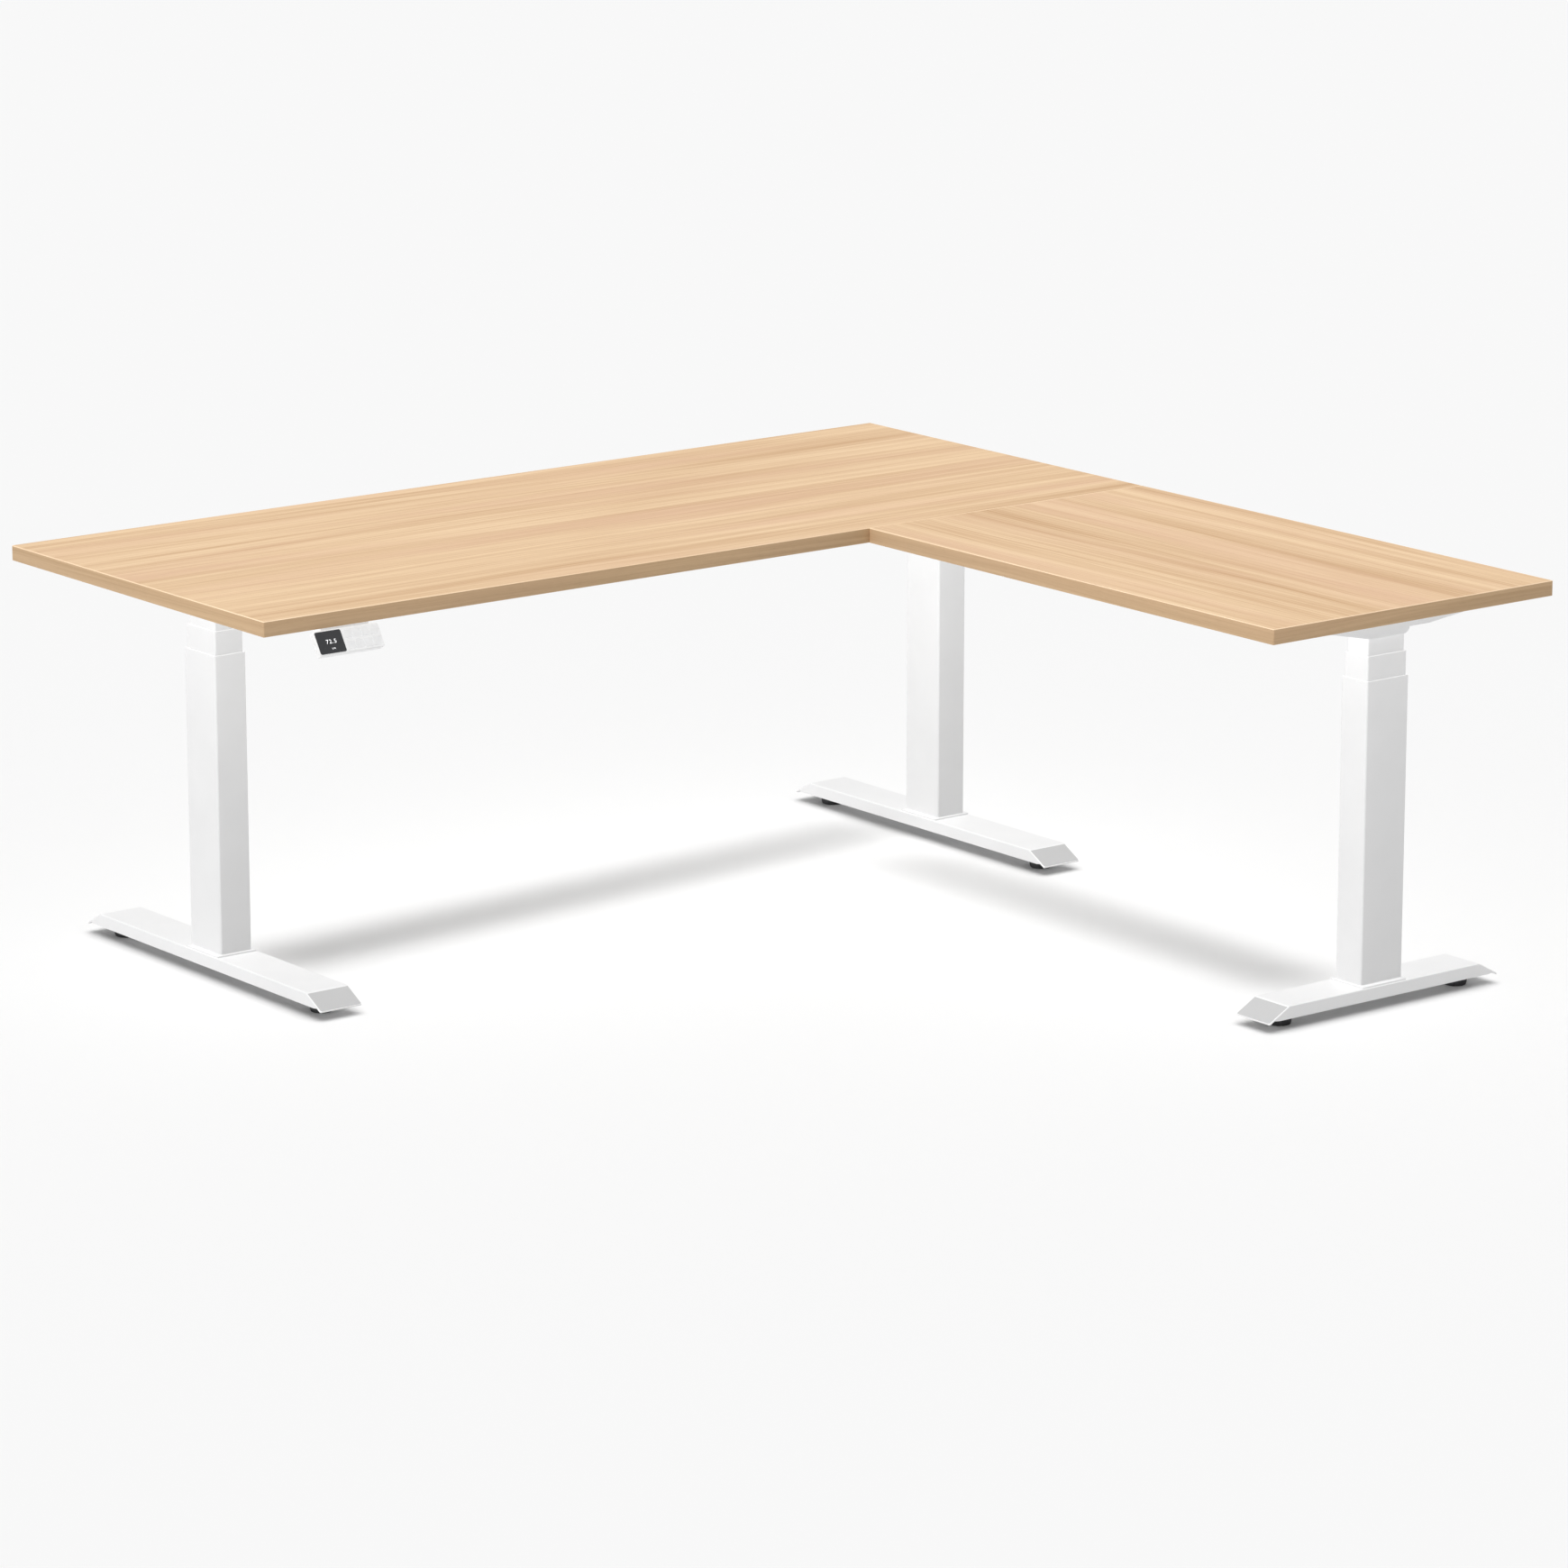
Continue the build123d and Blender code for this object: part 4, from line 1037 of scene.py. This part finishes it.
    def tube(self, half: np.ndarray, corner: float, low: float, high: float) -> Surface:
        """A rectangular tube: a closed wall profile with eased rims, carried round the corners.

        Args:
            half: Half the outside width and depth.
            corner: Outside radius of the corners.
            low: Height of the lower end.
            high: Height of the upper end.

        Returns:
            The closed surface.
        """
        ease, wall = self.rim_ease, self.wall
        rim = Rim(half[0] - corner, half[1] - corner, 8)
        outer = np.vstack([
            arc((corner - ease, low + ease), ease, -90, 0, 3),
            arc((corner - ease, high - ease), ease, 0, 90, 3),
        ])
        inner = np.array([[corner - wall, high - ease / 2], [corner - wall, low + ease / 2]])
        return rim.sweep(np.vstack([outer, inner]), closed=True)

    def base_plate(self, half: np.ndarray, low: float, high: float) -> Surface:
        """The plate under the column: a block with rounded corners and eased upper edges.

        Args:
            half: Half the width and depth.
            low: Height of its lower face.
            high: Height of its upper face.

        Returns:
            The closed surface.
        """
        corner, ease, low_ease = self.plate_corner, self.plate_ease, self.plate_low_ease
        rim = Rim(half[0] - corner, half[1] - corner, 5)
        lower = [[corner - low_ease, low], [corner, low + low_ease]]
        return rim.sweep(np.vstack([lower, arc((corner - ease, high - ease), ease, 0, 90, 3)]))

    def weld_bead(self, half: np.ndarray, height: float) -> Surface:
        """The painted fillet weld where the column stands on its plate: a quarter-round hollow bead.

        Args:
            half: Half the outside width and depth of the column.
            height: Height that the column stands at.

        Returns:
            The closed surface.
        """
        rim = Rim(half[0] - self.corner, half[1] - self.corner, 8)
        size, out, back = self.weld, self.corner, self.corner - self.weld_lap
        face = arc((out + size, height + size), size, 270, 180, 4)
        return rim.sweep(np.vstack([face, [[back, height + size], [back, height]]]), closed=True)

    def pipe(self, outer: float, inner: float, low: float, high: float) -> Surface:
        """A round pipe: a closed wall profile turned about its axis."""
        wall = np.array([[outer, low], [outer, high], [inner, high], [inner, low]])
        return Rim(steps=8).sweep(wall, closed=True)

    def build_foot_ends(self, shop: Workshop) -> None:
        """Make a grey sheet of painted shade on the foot's two sloping end plates, inside their bright edges.

        Args:
            shop: Where the pieces are made.
        """
        low, high = shop.box(f"{self.name}_foot")
        centre, half = (low + high) / 2, (high - low) / 2
        along_x = half[0] > half[1]
        tip, half_width = (half[0], half[1]) if along_x else (half[1], half[0])
        run, drop, corner = self.end_run, self.end_drop, self.skin_corner
        far, side = math.hypot(run, drop) - self.skin_tip_gap, half_width - self.skin_side_gap
        outline = np.vstack([
            [[corner, -side]],
            arc((far - corner, corner - side), corner, -90, 0, 5),
            arc((far - corner, side - corner), corner, 0, 90, 5),
            [[corner, side]],
        ])
        # The grey sheet is painted shade: a darker copy of the white powder coat laid over the sloping end
        # plates.
        body, slot, grey = f"{self.name}_base", "white_powder_coat", shop.finishes.shaded_paint
        for sign, end in zip((-1, 1), ("low", "high")):
            outward = Vector((sign, 0, 0)) if along_x else Vector((0, sign, 0))
            down = (outward * run - UP * drop).normalized()
            across = UP.cross(outward)
            normal = down.cross(across)
            bend = Vector((centre[0], centre[1], high[2])) + outward * (tip - run)
            turn = Matrix((down, across, normal)).transposed().to_4x4()
            skin = plate(outline, self.skin).moved(at(*(bend + normal * self.skin_lift)) @ turn)
            shop.piece(f"{self.name}_foot_{end}_end_skin", skin, body, slot, grey, Shading.FLAT)


@dataclass
class UnderFrame:
    """The painted rails, brackets and plates under the boards, and what fastens them."""

    painted: tuple[str, ...] = ("side_brackets", "main_rails", "return_rails", "rail_joint", "joining_plates")
    screw_radius: float = 4.0 * MM
    screw_height: float = 2.8 * MM
    shank_radius: float = 1.95 * MM
    screw_pitch: float = 1.8 * MM
    screw_groove: float = 0.5 * MM
    shank_lap: float = 0.3 * MM
    recess_radius: float = 2.3 * MM
    recess_half_width: float = 0.5 * MM
    recess_depth: float = 1.3 * MM

    def build(self, shop: Workshop) -> None:
        """Dress the sheet metal and its fasteners.

        Args:
            shop: Where the pieces are made.
        """
        for node in self.painted:
            shop.dress(node, shop.finishes.paint)
        shop.dress("frame_bolts", shop.finishes.steel)
        self.build_screws(shop)

    def build_screws(self, shop: Workshop) -> None:
        """Make every wood screw: a domed head with a cross recess, and a threaded shank.

        Args:
            shop: Where the pieces are made.
        """
        mesh = shop.frame["nodes"]["desktop_screws"].data
        points = np.zeros(len(mesh.vertices) * 3)
        mesh.vertices.foreach_get("co", points)
        places = self.clusters(points.reshape(-1, 3), 3 * self.screw_radius)
        head = self.screw_head()
        screws = []
        for low, high in places:
            middle = (low + high) / 2
            seat = low[2] + self.screw_height
            tip = seat - high[2]
            shank = threaded_rod(
                self.shank_radius, self.screw_groove, self.screw_pitch, tip, self.shank_lap, 10, 4
            )
            place = at(middle[0], middle[1], seat) @ UPSIDE_DOWN
            screws += [head.moved(place), shank.moved(place)]
        shop.piece(
            "desktop_screw_set", joined(screws), "top", "zinc_plated_steel", shop.finishes.steel,
            replaces=("desktop_screws",),
        )

    def clusters(self, points: np.ndarray, apart: float) -> list[tuple[np.ndarray, np.ndarray]]:
        """The lowest and highest corners of each group of points that lie within a distance in plan.

        Args:
            points: Rows of (x, y, z).
            apart: The distance.

        Returns:
            The two corners of each group.
        """
        groups = []
        while len(points):
            near = np.linalg.norm(points[:, :2] - points[0, :2], axis=1) < apart
            groups.append((points[near].min(0), points[near].max(0)))
            points = points[~near]
        return groups

    def screw_head(self) -> Surface:
        """A pan head, upwards, with its seat at z = 0.

        The height is a flattened dome: the full height times the square root of 1 - 0.5 (r / radius)
        to the fourth, where r is the distance from the axis. It is lowered by the recess depth where r
        is under the recess radius and the point is within the half width of the X or the Y axis. The
        rows run outwards, so each face is turned over.

        Returns:
            The closed surface.
        """
        around, rings = 48, 10
        angle = np.linspace(0, 2 * math.pi, around, endpoint=False)[:, None]
        out = np.linspace(0.04, 1, rings)[None, :] * self.screw_radius
        x, y = out * np.cos(angle), out * np.sin(angle)
        dome = self.screw_height * np.sqrt(1 - 0.5 * (out / self.screw_radius) ** 4)
        arm = np.minimum(np.abs(x), np.abs(y)) < self.recess_half_width
        cut = np.where(arm & (out < self.recess_radius), self.recess_depth, 0.0)
        top = np.stack([x, y, np.broadcast_to(dome - cut, x.shape)], axis=2)
        rim = np.stack([x[:, -1:], y[:, -1:], np.zeros((around, 1))], axis=2)
        points = np.concatenate([top, rim], axis=1)
        rows = rings + 1
        inward = face_list(quads(around, rows, True, False)) + caps(around, rows)
        return Surface(points.reshape(-1, 3), [face[::-1] for face in inward])


@dataclass
class ControlBox:
    """The control box: its tray, cooling ribs, sockets, rating plate and mains inlet."""

    ribs: int = 14
    rib_size: tuple[float, float, float] = (2.4 * MM, 46 * MM, 1.1 * MM)
    rib_pitch: float = 6.0 * MM
    rib_corner: float = 1.1 * MM
    rib_from_end: float = 22 * MM
    plate_size: tuple[float, float] = (74 * MM, 40 * MM)
    plate_corner: float = 3.0 * MM
    plate_thickness: float = 0.15 * MM
    sockets: tuple[float, ...] = (-70 * MM, -35 * MM, 0.0, 40 * MM)
    socket_drop: float = 1.0 * MM
    socket_size: tuple[float, float] = (17 * MM, 11 * MM)
    pin_size: tuple[float, float, float] = (1.0 * MM, 2.6 * MM, 1.2 * MM)
    pin_corner: float = 0.4 * MM
    pin_lift: float = 0.1 * MM
    pins: tuple[float, ...] = (-4.5 * MM, -1.5 * MM, 1.5 * MM, 4.5 * MM)

    def build(self, shop: Workshop) -> None:
        """Dress the tray and add what is on it.

        Args:
            shop: Where the pieces are made.
        """
        shop.dress("control_box", shop.finishes.shell)
        shop.dress("power_inlet", shop.finishes.black)
        low, high = shop.box("control_box")
        middle = (low + high) / 2
        under = at(middle[0], middle[1], low[2]) @ UPSIDE_DOWN
        first = (high - low)[0] / 2 - self.rib_from_end
        width, length, thickness = self.rib_size
        rib = plate(self.rounded(width, length, self.rib_corner), thickness)
        ribs = joined([rib.moved(at(first - n * self.rib_pitch, 0)) for n in range(self.ribs)])
        label = plate(self.rounded(*self.plate_size, self.plate_corner), self.plate_thickness)
        label = label.moved(at(self.plate_size[0] / 2 - first, 0))
        front = at(middle[0], low[1], middle[2]) @ Matrix.Rotation(math.pi / 2, 4, "X")
        frames = joined([self.socket().moved(at(x, -self.socket_drop)) for x in self.sockets])
        shell, key, black = shop.finishes.shell, shop.finishes.key, shop.finishes.black
        made = (
            ("ribs", ribs.moved(under), "white_plastic", shell, Shading.FLAT),
            ("rating_plate", label.moved(under), "key_grey", key, Shading.FLAT),
            ("sockets", frames.moved(front), "black_plastic", black, Shading.SMOOTH),
        )
        for part, surface, slot, finish, shading in made:
            shop.piece(f"control_box_{part}", surface, "top", slot, finish, shading)

    def rounded(self, width: float, height: float, corner: float) -> np.ndarray:
        """A rounded rectangle's outline, counter-clockwise about the origin.

        Args:
            width: Its width.
            height: Its height.
            corner: Radius of its corners.

        Returns:
            Rows of (x, y).
        """
        x, y = width / 2 - corner, height / 2 - corner
        turns = ((x, y, 0), (-x, y, 90), (-x, -y, 180), (x, -y, 270))
        return np.vstack([arc((cx, cy), corner, start, start + 90, 5) for cx, cy, start in turns])

    def socket(self) -> Surface:
        """A socket's raised frame round a sunken floor with a row of contacts.

        Returns:
            The closed surface, with its frame proud of z = 0.
        """
        corner, proud, ease, floor = 1.5 * MM, 1.6 * MM, 0.3 * MM, 0.2 * MM
        inner = corner - 1.2 * MM
        half_x, half_y = self.socket_size[0] / 2 - corner, self.socket_size[1] / 2 - corner
        profile = np.array([
            [corner, 0],
            [corner, proud - ease],
            [corner - ease, proud],
            [inner + floor, proud],
            [inner, proud - floor],
            [inner, floor],
            [0, floor],
        ])
        frame = Rim(half_x, half_y, 4).sweep(profile)
        width, height, thickness = self.pin_size
        pin = plate(self.rounded(width, height, self.pin_corner), thickness)
        return joined([frame, *(pin.moved(at(x, 0, self.pin_lift)) for x in self.pins)])


@dataclass
class Keypad:
    """The keypad: housing, display with its digits, and keys with white symbols."""

    ink: float = 0.04 * MM
    stroke: float = 0.8 * MM
    key_thickness: float = 2.2 * MM
    window_thickness: float = 1.5 * MM
    clearance: float = 0.005 * MM
    digits: str = "72.5"
    digit_height: float = 6.8 * MM
    digit_place: tuple[float, float] = (1.6 * MM, 1.0 * MM)
    unit: str = "cm"
    unit_height: float = 3.6 * MM
    unit_place: tuple[float, float] = (2.4 * MM, -11.0 * MM)
    memory_height: float = 5.2 * MM
    capital: float = 0.7
    spacing: float = 1.2
    buttons: tuple[str, ...] = (
        "menu_button", "lock_button", "unit_button", "up_button",
        "memory_1_button", "memory_2_button", "memory_3_button", "down_button",
    )

    def build(self, shop: Workshop) -> None:
        """Dress the keypad and print its symbols.

        Args:
            shop: Where the pieces are made.
        """
        shop.dress("keypad_case", shop.finishes.shell)
        shop.dress("display_window", shop.finishes.window)
        outward = -self.press_axis(shop)
        for node in self.buttons:
            shop.dress(node, shop.finishes.key)
            face = self.face(shop, node, outward, self.key_thickness)
            symbol = self.symbol(node.removesuffix("_button")).moved(face)
            white = shop.finishes.print_white
            shop.piece(f"{node}_symbol", symbol, node, "key_grey", white, Shading.FLAT)
        face = self.face(shop, "display_window", outward, self.window_thickness)
        digits = self.lettering(self.digits, self.digit_height, self.digit_place)
        unit = self.lettering(self.unit, self.unit_height, self.unit_place)
        readout = joined([digits, unit]).moved(face)
        shop.piece("display_digits", readout, "top", "display_black", shop.finishes.lit_white, Shading.FLAT)

    def press_axis(self, shop: Workshop) -> Vector:
        """The direction that a key is pressed in, from its joint."""
        joint = next(j for j in shop.frame["joints"] if j["child"] == self.buttons[0])
        return Vector(joint["axis"]).normalized()

    def face(self, shop: Workshop, node: str, outward: Vector, thickness: float) -> Matrix:
        """A matrix with its origin in the middle of a node's front face, x to the right and z outwards.

        Args:
            shop: Where the pieces are made.
            node: The node.
            outward: The direction that the face looks in.
            thickness: The node's thickness along that direction.

        Returns:
            The matrix.
        """
        low, high = shop.box(node)
        middle = Vector((low + high) / 2) + outward * (thickness / 2 + self.clearance)
        right = Vector((1, 0, 0))
        turn = Matrix((right, outward.cross(right), outward)).transposed().to_4x4()
        return at(*middle) @ turn

    def lettering(self, text: str, height: float, centre: tuple[float, float]) -> Surface:
        """Letters or digits as a thin mesh, centred on a point of the face.

        Args:
            text: What is shown.
            height: Height of a capital.
            centre: Where its middle is.

        Returns:
            The lettering, as thick as ink.
        """
        curve = bpy.data.curves.new("lettering", "FONT")
        curve.body = text
        curve.size = height / self.capital
        curve.extrude = self.ink / 2
        curve.space_character = self.spacing
        curve.resolution_u = 3
        holder = bpy.data.objects.new("lettering", curve)
        bpy.context.scene.collection.objects.link(holder)
        bpy.context.view_layer.update()
        evaluated = holder.evaluated_get(bpy.context.evaluated_depsgraph_get())
        mesh = bpy.data.meshes.new_from_object(evaluated)
        points = np.zeros(len(mesh.vertices) * 3)
        mesh.vertices.foreach_get("co", points)
        points = points.reshape(-1, 3)
        faces = [tuple(p.vertices) for p in mesh.polygons]
        bpy.data.objects.remove(holder)
        bpy.data.curves.remove(curve)
        middle = (points.min(0) + points.max(0)) / 2
        points = points - middle + np.array([centre[0], centre[1], self.ink / 2])
        return Surface(points, faces)

    def symbol(self, name: str) -> Surface:
        """The white symbol of one key, by the key's name.

        Args:
            name: The key's name.

        Returns:
            The symbol, as thick as ink.
        """
        wide, tall, pen, ink = 3.2 * MM, 2.4 * MM, self.stroke, self.ink
        flipped = np.array([1, -1])
        if name.startswith("memory"):
            return self.lettering(name.split("_")[1], self.memory_height, (0, 0))
        if name in ("up", "down"):
            arrow = np.array([[-wide, -0.6 * tall], [wide, -0.6 * tall], [0, tall]])
            return plate(arrow if name == "up" else arrow[::-1] * flipped, ink)
        if name == "menu":
            rows = [np.array([[-wide, y], [wide, y]]) for y in (-0.8 * tall, 0, 0.8 * tall)]
            return joined([ribbon(row, pen, ink) for row in rows])
        if name == "lock":
            body = np.array([[-2.1, -2.9], [2.1, -2.9], [2.1, 0.3], [-2.1, 0.3]]) * MM
            reach, foot = 1.3 * MM, 0.2 * MM
            bow = arc((0, 1.2 * MM), reach, 0, 180, 8)
            shackle = np.vstack([[[reach, foot]], bow, [[-reach, foot]]])
            return joined([plate(body, ink), ribbon(shackle, pen * 0.8, ink)])
        shaft = ribbon(np.array([[0, -1.7 * MM], [0, 1.7 * MM]]), pen, ink)
        head = np.array([[-1.5, 1.5], [1.5, 1.5], [0, 3.2]]) * MM
        return joined([shaft, plate(head, ink), plate(head[::-1] * flipped, ink)])


# ---------------------------------------------------------------- the studio


class Lit(Enum):
    """What a sun lights."""

    FLOOR = "floor"
    DESK = "desk"


class Shade(Enum):
    """What stands in a sun's way."""

    NOTHING = "nothing"
    FEET_AND_FLAGS = "feet and flags"


@dataclass(frozen=True)
class Sun:
    """One distant light: where it stands, how broad it is, what it lights and what shades it."""

    name: str
    power: float
    azimuth: float
    height: float
    spread: float
    lit: Lit
    shade: Shade

    def towards(self) -> Vector:
        """The direction to it. An azimuth of 0 is +Y, and of 90 is +X.

        Returns:
            A unit vector.
        """
        azimuth, height = math.radians(self.azimuth), math.radians(self.height)
        flat = math.cos(height)
        return Vector((math.sin(azimuth) * flat, math.cos(azimuth) * flat, math.sin(height)))


@dataclass(frozen=True)
class Flag:
    """A narrow tapering card that shades the floor: its two ends and the width at each."""

    name: str
    start: tuple[float, float]
    end: tuple[float, float]
    start_width: float
    end_width: float


@dataclass
class Studio:
    """A pale floor, a soft light for it overhead, two fills for the desk, and the camera."""

    eye: tuple[float, float, float] = (-6.1711, -7.9814, 2.7651)
    yaw: float = 37.8185
    pitch: float = 13.7301
    lens: float = 146.09
    sky: float = 0.30
    suns: tuple[Sun, ...] = (
        Sun("floor_light", 2.34, 200.0, 88.0, 74.0, Lit.FLOOR, Shade.FEET_AND_FLAGS),
        Sun("top_fill", 2.33, 200.0, 80.0, 5.0, Lit.DESK, Shade.NOTHING),
        Sun("left_fill", 1.2, 270.0, 10.0, 5.0, Lit.DESK, Shade.NOTHING),
    )
    flags: tuple[Flag, ...] = (
        Flag("main_flag", (-0.69, 0.50), (0.72, 0.60), 0.12, 0.065),
        Flag("return_flag", (0.60, 0.40), (0.60, -0.66), 0.054, 0.088),
    )
    flag_height: float = 0.145
    feet_under: float = 0.05
    floor_half: float = 60.0

    def build(self) -> None:
        """Make the floor, the flags, the lights and the camera."""
        floor = self.build_floor()
        flags = [self.build_flag(flag) for flag in self.flags]
        self.build_lights(floor, flags)
        self.build_camera()

    def stage_sheet(self, name: str, points: list[tuple[float, float, float]]) -> bpy.types.Object:
        """A four-cornered sheet, of floor or of card, that stands on the stage.

        Args:
            name: The sheet's name.
            points: Its corners, counter-clockwise from above.

        Returns:
            The sheet.
        """
        mesh = bpy.data.meshes.new(name)
        mesh.from_pydata(points, [], [(0, 1, 2, 3)])
        mesh.materials.append(StudioFloor(f"{name}_finish").build())
        sheet = bpy.data.objects.new(name, mesh)
        bpy.context.scene.collection.objects.link(sheet)
        return sheet

    def build_floor(self) -> bpy.types.Object:
        """A large flat floor.

        Returns:
            The floor.
        """
        half = self.floor_half
        corners = [(-half, -half, 0), (half, -half, 0), (half, half, 0), (-half, half, 0)]
        return self.stage_sheet("studio_floor", corners)

    def build_flag(self, flag: Flag) -> bpy.types.Object:
        """One card, which only the floor light sees.

        Args:
            flag: Its place and widths.

        Returns:
            The card.
        """
        start, end = Vector(flag.start), Vector(flag.end)
        run = (end - start).normalized()
        side = Vector((-run.y, run.x)) / 2
        near, far = side * flag.start_width, side * flag.end_width
        corners = [(c.x, c.y, self.flag_height) for c in (start - near, end - far, end + far, start + near)]
        card = self.stage_sheet(flag.name, corners)
        for ray in ("camera", "diffuse", "glossy", "transmission"):
            setattr(card, f"visible_{ray}", False)
        return card

    def build_lights(self, floor: bpy.types.Object, flags: list[bpy.types.Object]) -> None:
        """An even sky and the suns.

        Args:
            floor: The floor.
            flags: The cards that shade it.
        """
        world = bpy.data.worlds.new("studio_sky")
        world.use_nodes = True
        background = world.node_tree.nodes["Background"]
        background.inputs[0].default_value = (1, 1, 1, 1)
        background.inputs[1].default_value = self.sky
        bpy.context.scene.world = world
        stage = (floor, *flags)
        desk = [o for o in bpy.context.scene.objects if o.type == "MESH" and o not in stage]
        tall = [o for o in desk if max(corner[2] for corner in o.bound_box) > self.feet_under]
        lit = {Lit.FLOOR: "INCLUDE", Lit.DESK: "EXCLUDE"}
        for sun in self.suns:
            lamp = bpy.data.lights.new(sun.name, "SUN")
            lamp.energy = sun.power
            lamp.angle = math.radians(sun.spread)
            lamp.use_shadow = sun.shade is not Shade.NOTHING
            lamp.specular_factor = 0.0 if sun.lit is Lit.DESK else 1.0
            holder = bpy.data.objects.new(sun.name, lamp)
            holder.rotation_mode = "QUATERNION"
            holder.rotation_quaternion = sun.towards().to_track_quat("Z", "Y")
            bpy.context.scene.collection.objects.link(holder)
            linking = holder.light_linking
            linking.receiver_collection = self.linked(f"{sun.name}_lit", lit[sun.lit], [floor])
            if sun.shade is Shade.FEET_AND_FLAGS:
                linking.blocker_collection = self.linked(f"{sun.name}_shade", "EXCLUDE", tall)

    def linked(self, name: str, state: str, pieces: list[bpy.types.Object]) -> bpy.types.Collection:
        """A light-linking collection that takes in, or leaves out, these pieces.

        Args:
            name: The collection's name.
            state: INCLUDE or EXCLUDE.
            pieces: The pieces.

        Returns:
            The collection.
        """
        collection = bpy.data.collections.new(name)
        for piece in pieces:
            collection.objects.link(piece)
        for entry in collection.collection_objects:
            entry.light_linking.link_state = state
        return collection

    def build_camera(self) -> None:
        """The camera, level, looking down and to the right."""
        data = bpy.data.cameras.new("camera")
        data.lens = self.lens
        data.sensor_width = 36.0
        data.clip_end = 200.0
        camera = bpy.data.objects.new("camera", data)
        camera.location = self.eye
        camera.rotation_euler = (math.radians(90 - self.pitch), 0, math.radians(-self.yaw))
        bpy.context.scene.collection.objects.link(camera)
        bpy.context.scene.camera = camera
        bpy.context.scene.view_settings.view_transform = "Standard"


def main() -> None:
    """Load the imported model, build every piece round it, and light it."""
    logging.basicConfig(level=logging.INFO, format="%(name)s: %(message)s")
    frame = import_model()
    shop = Workshop(frame, Finishes.made())
    Board("main_desktop", Grain.ALONG_X).build(shop)
    Board("return_desktop", Grain.ALONG_Y).build(shop)
    for name, pads in zip(LEG_NAMES, (("front", "rear"), ("front", "rear"), ("left", "right"))):
        Leg(name, pads).build(shop)
    UnderFrame().build(shop)
    ControlBox().build(shop)
    Keypad().build(shop)
    Studio().build()


if __name__ == "__main__":
    main()
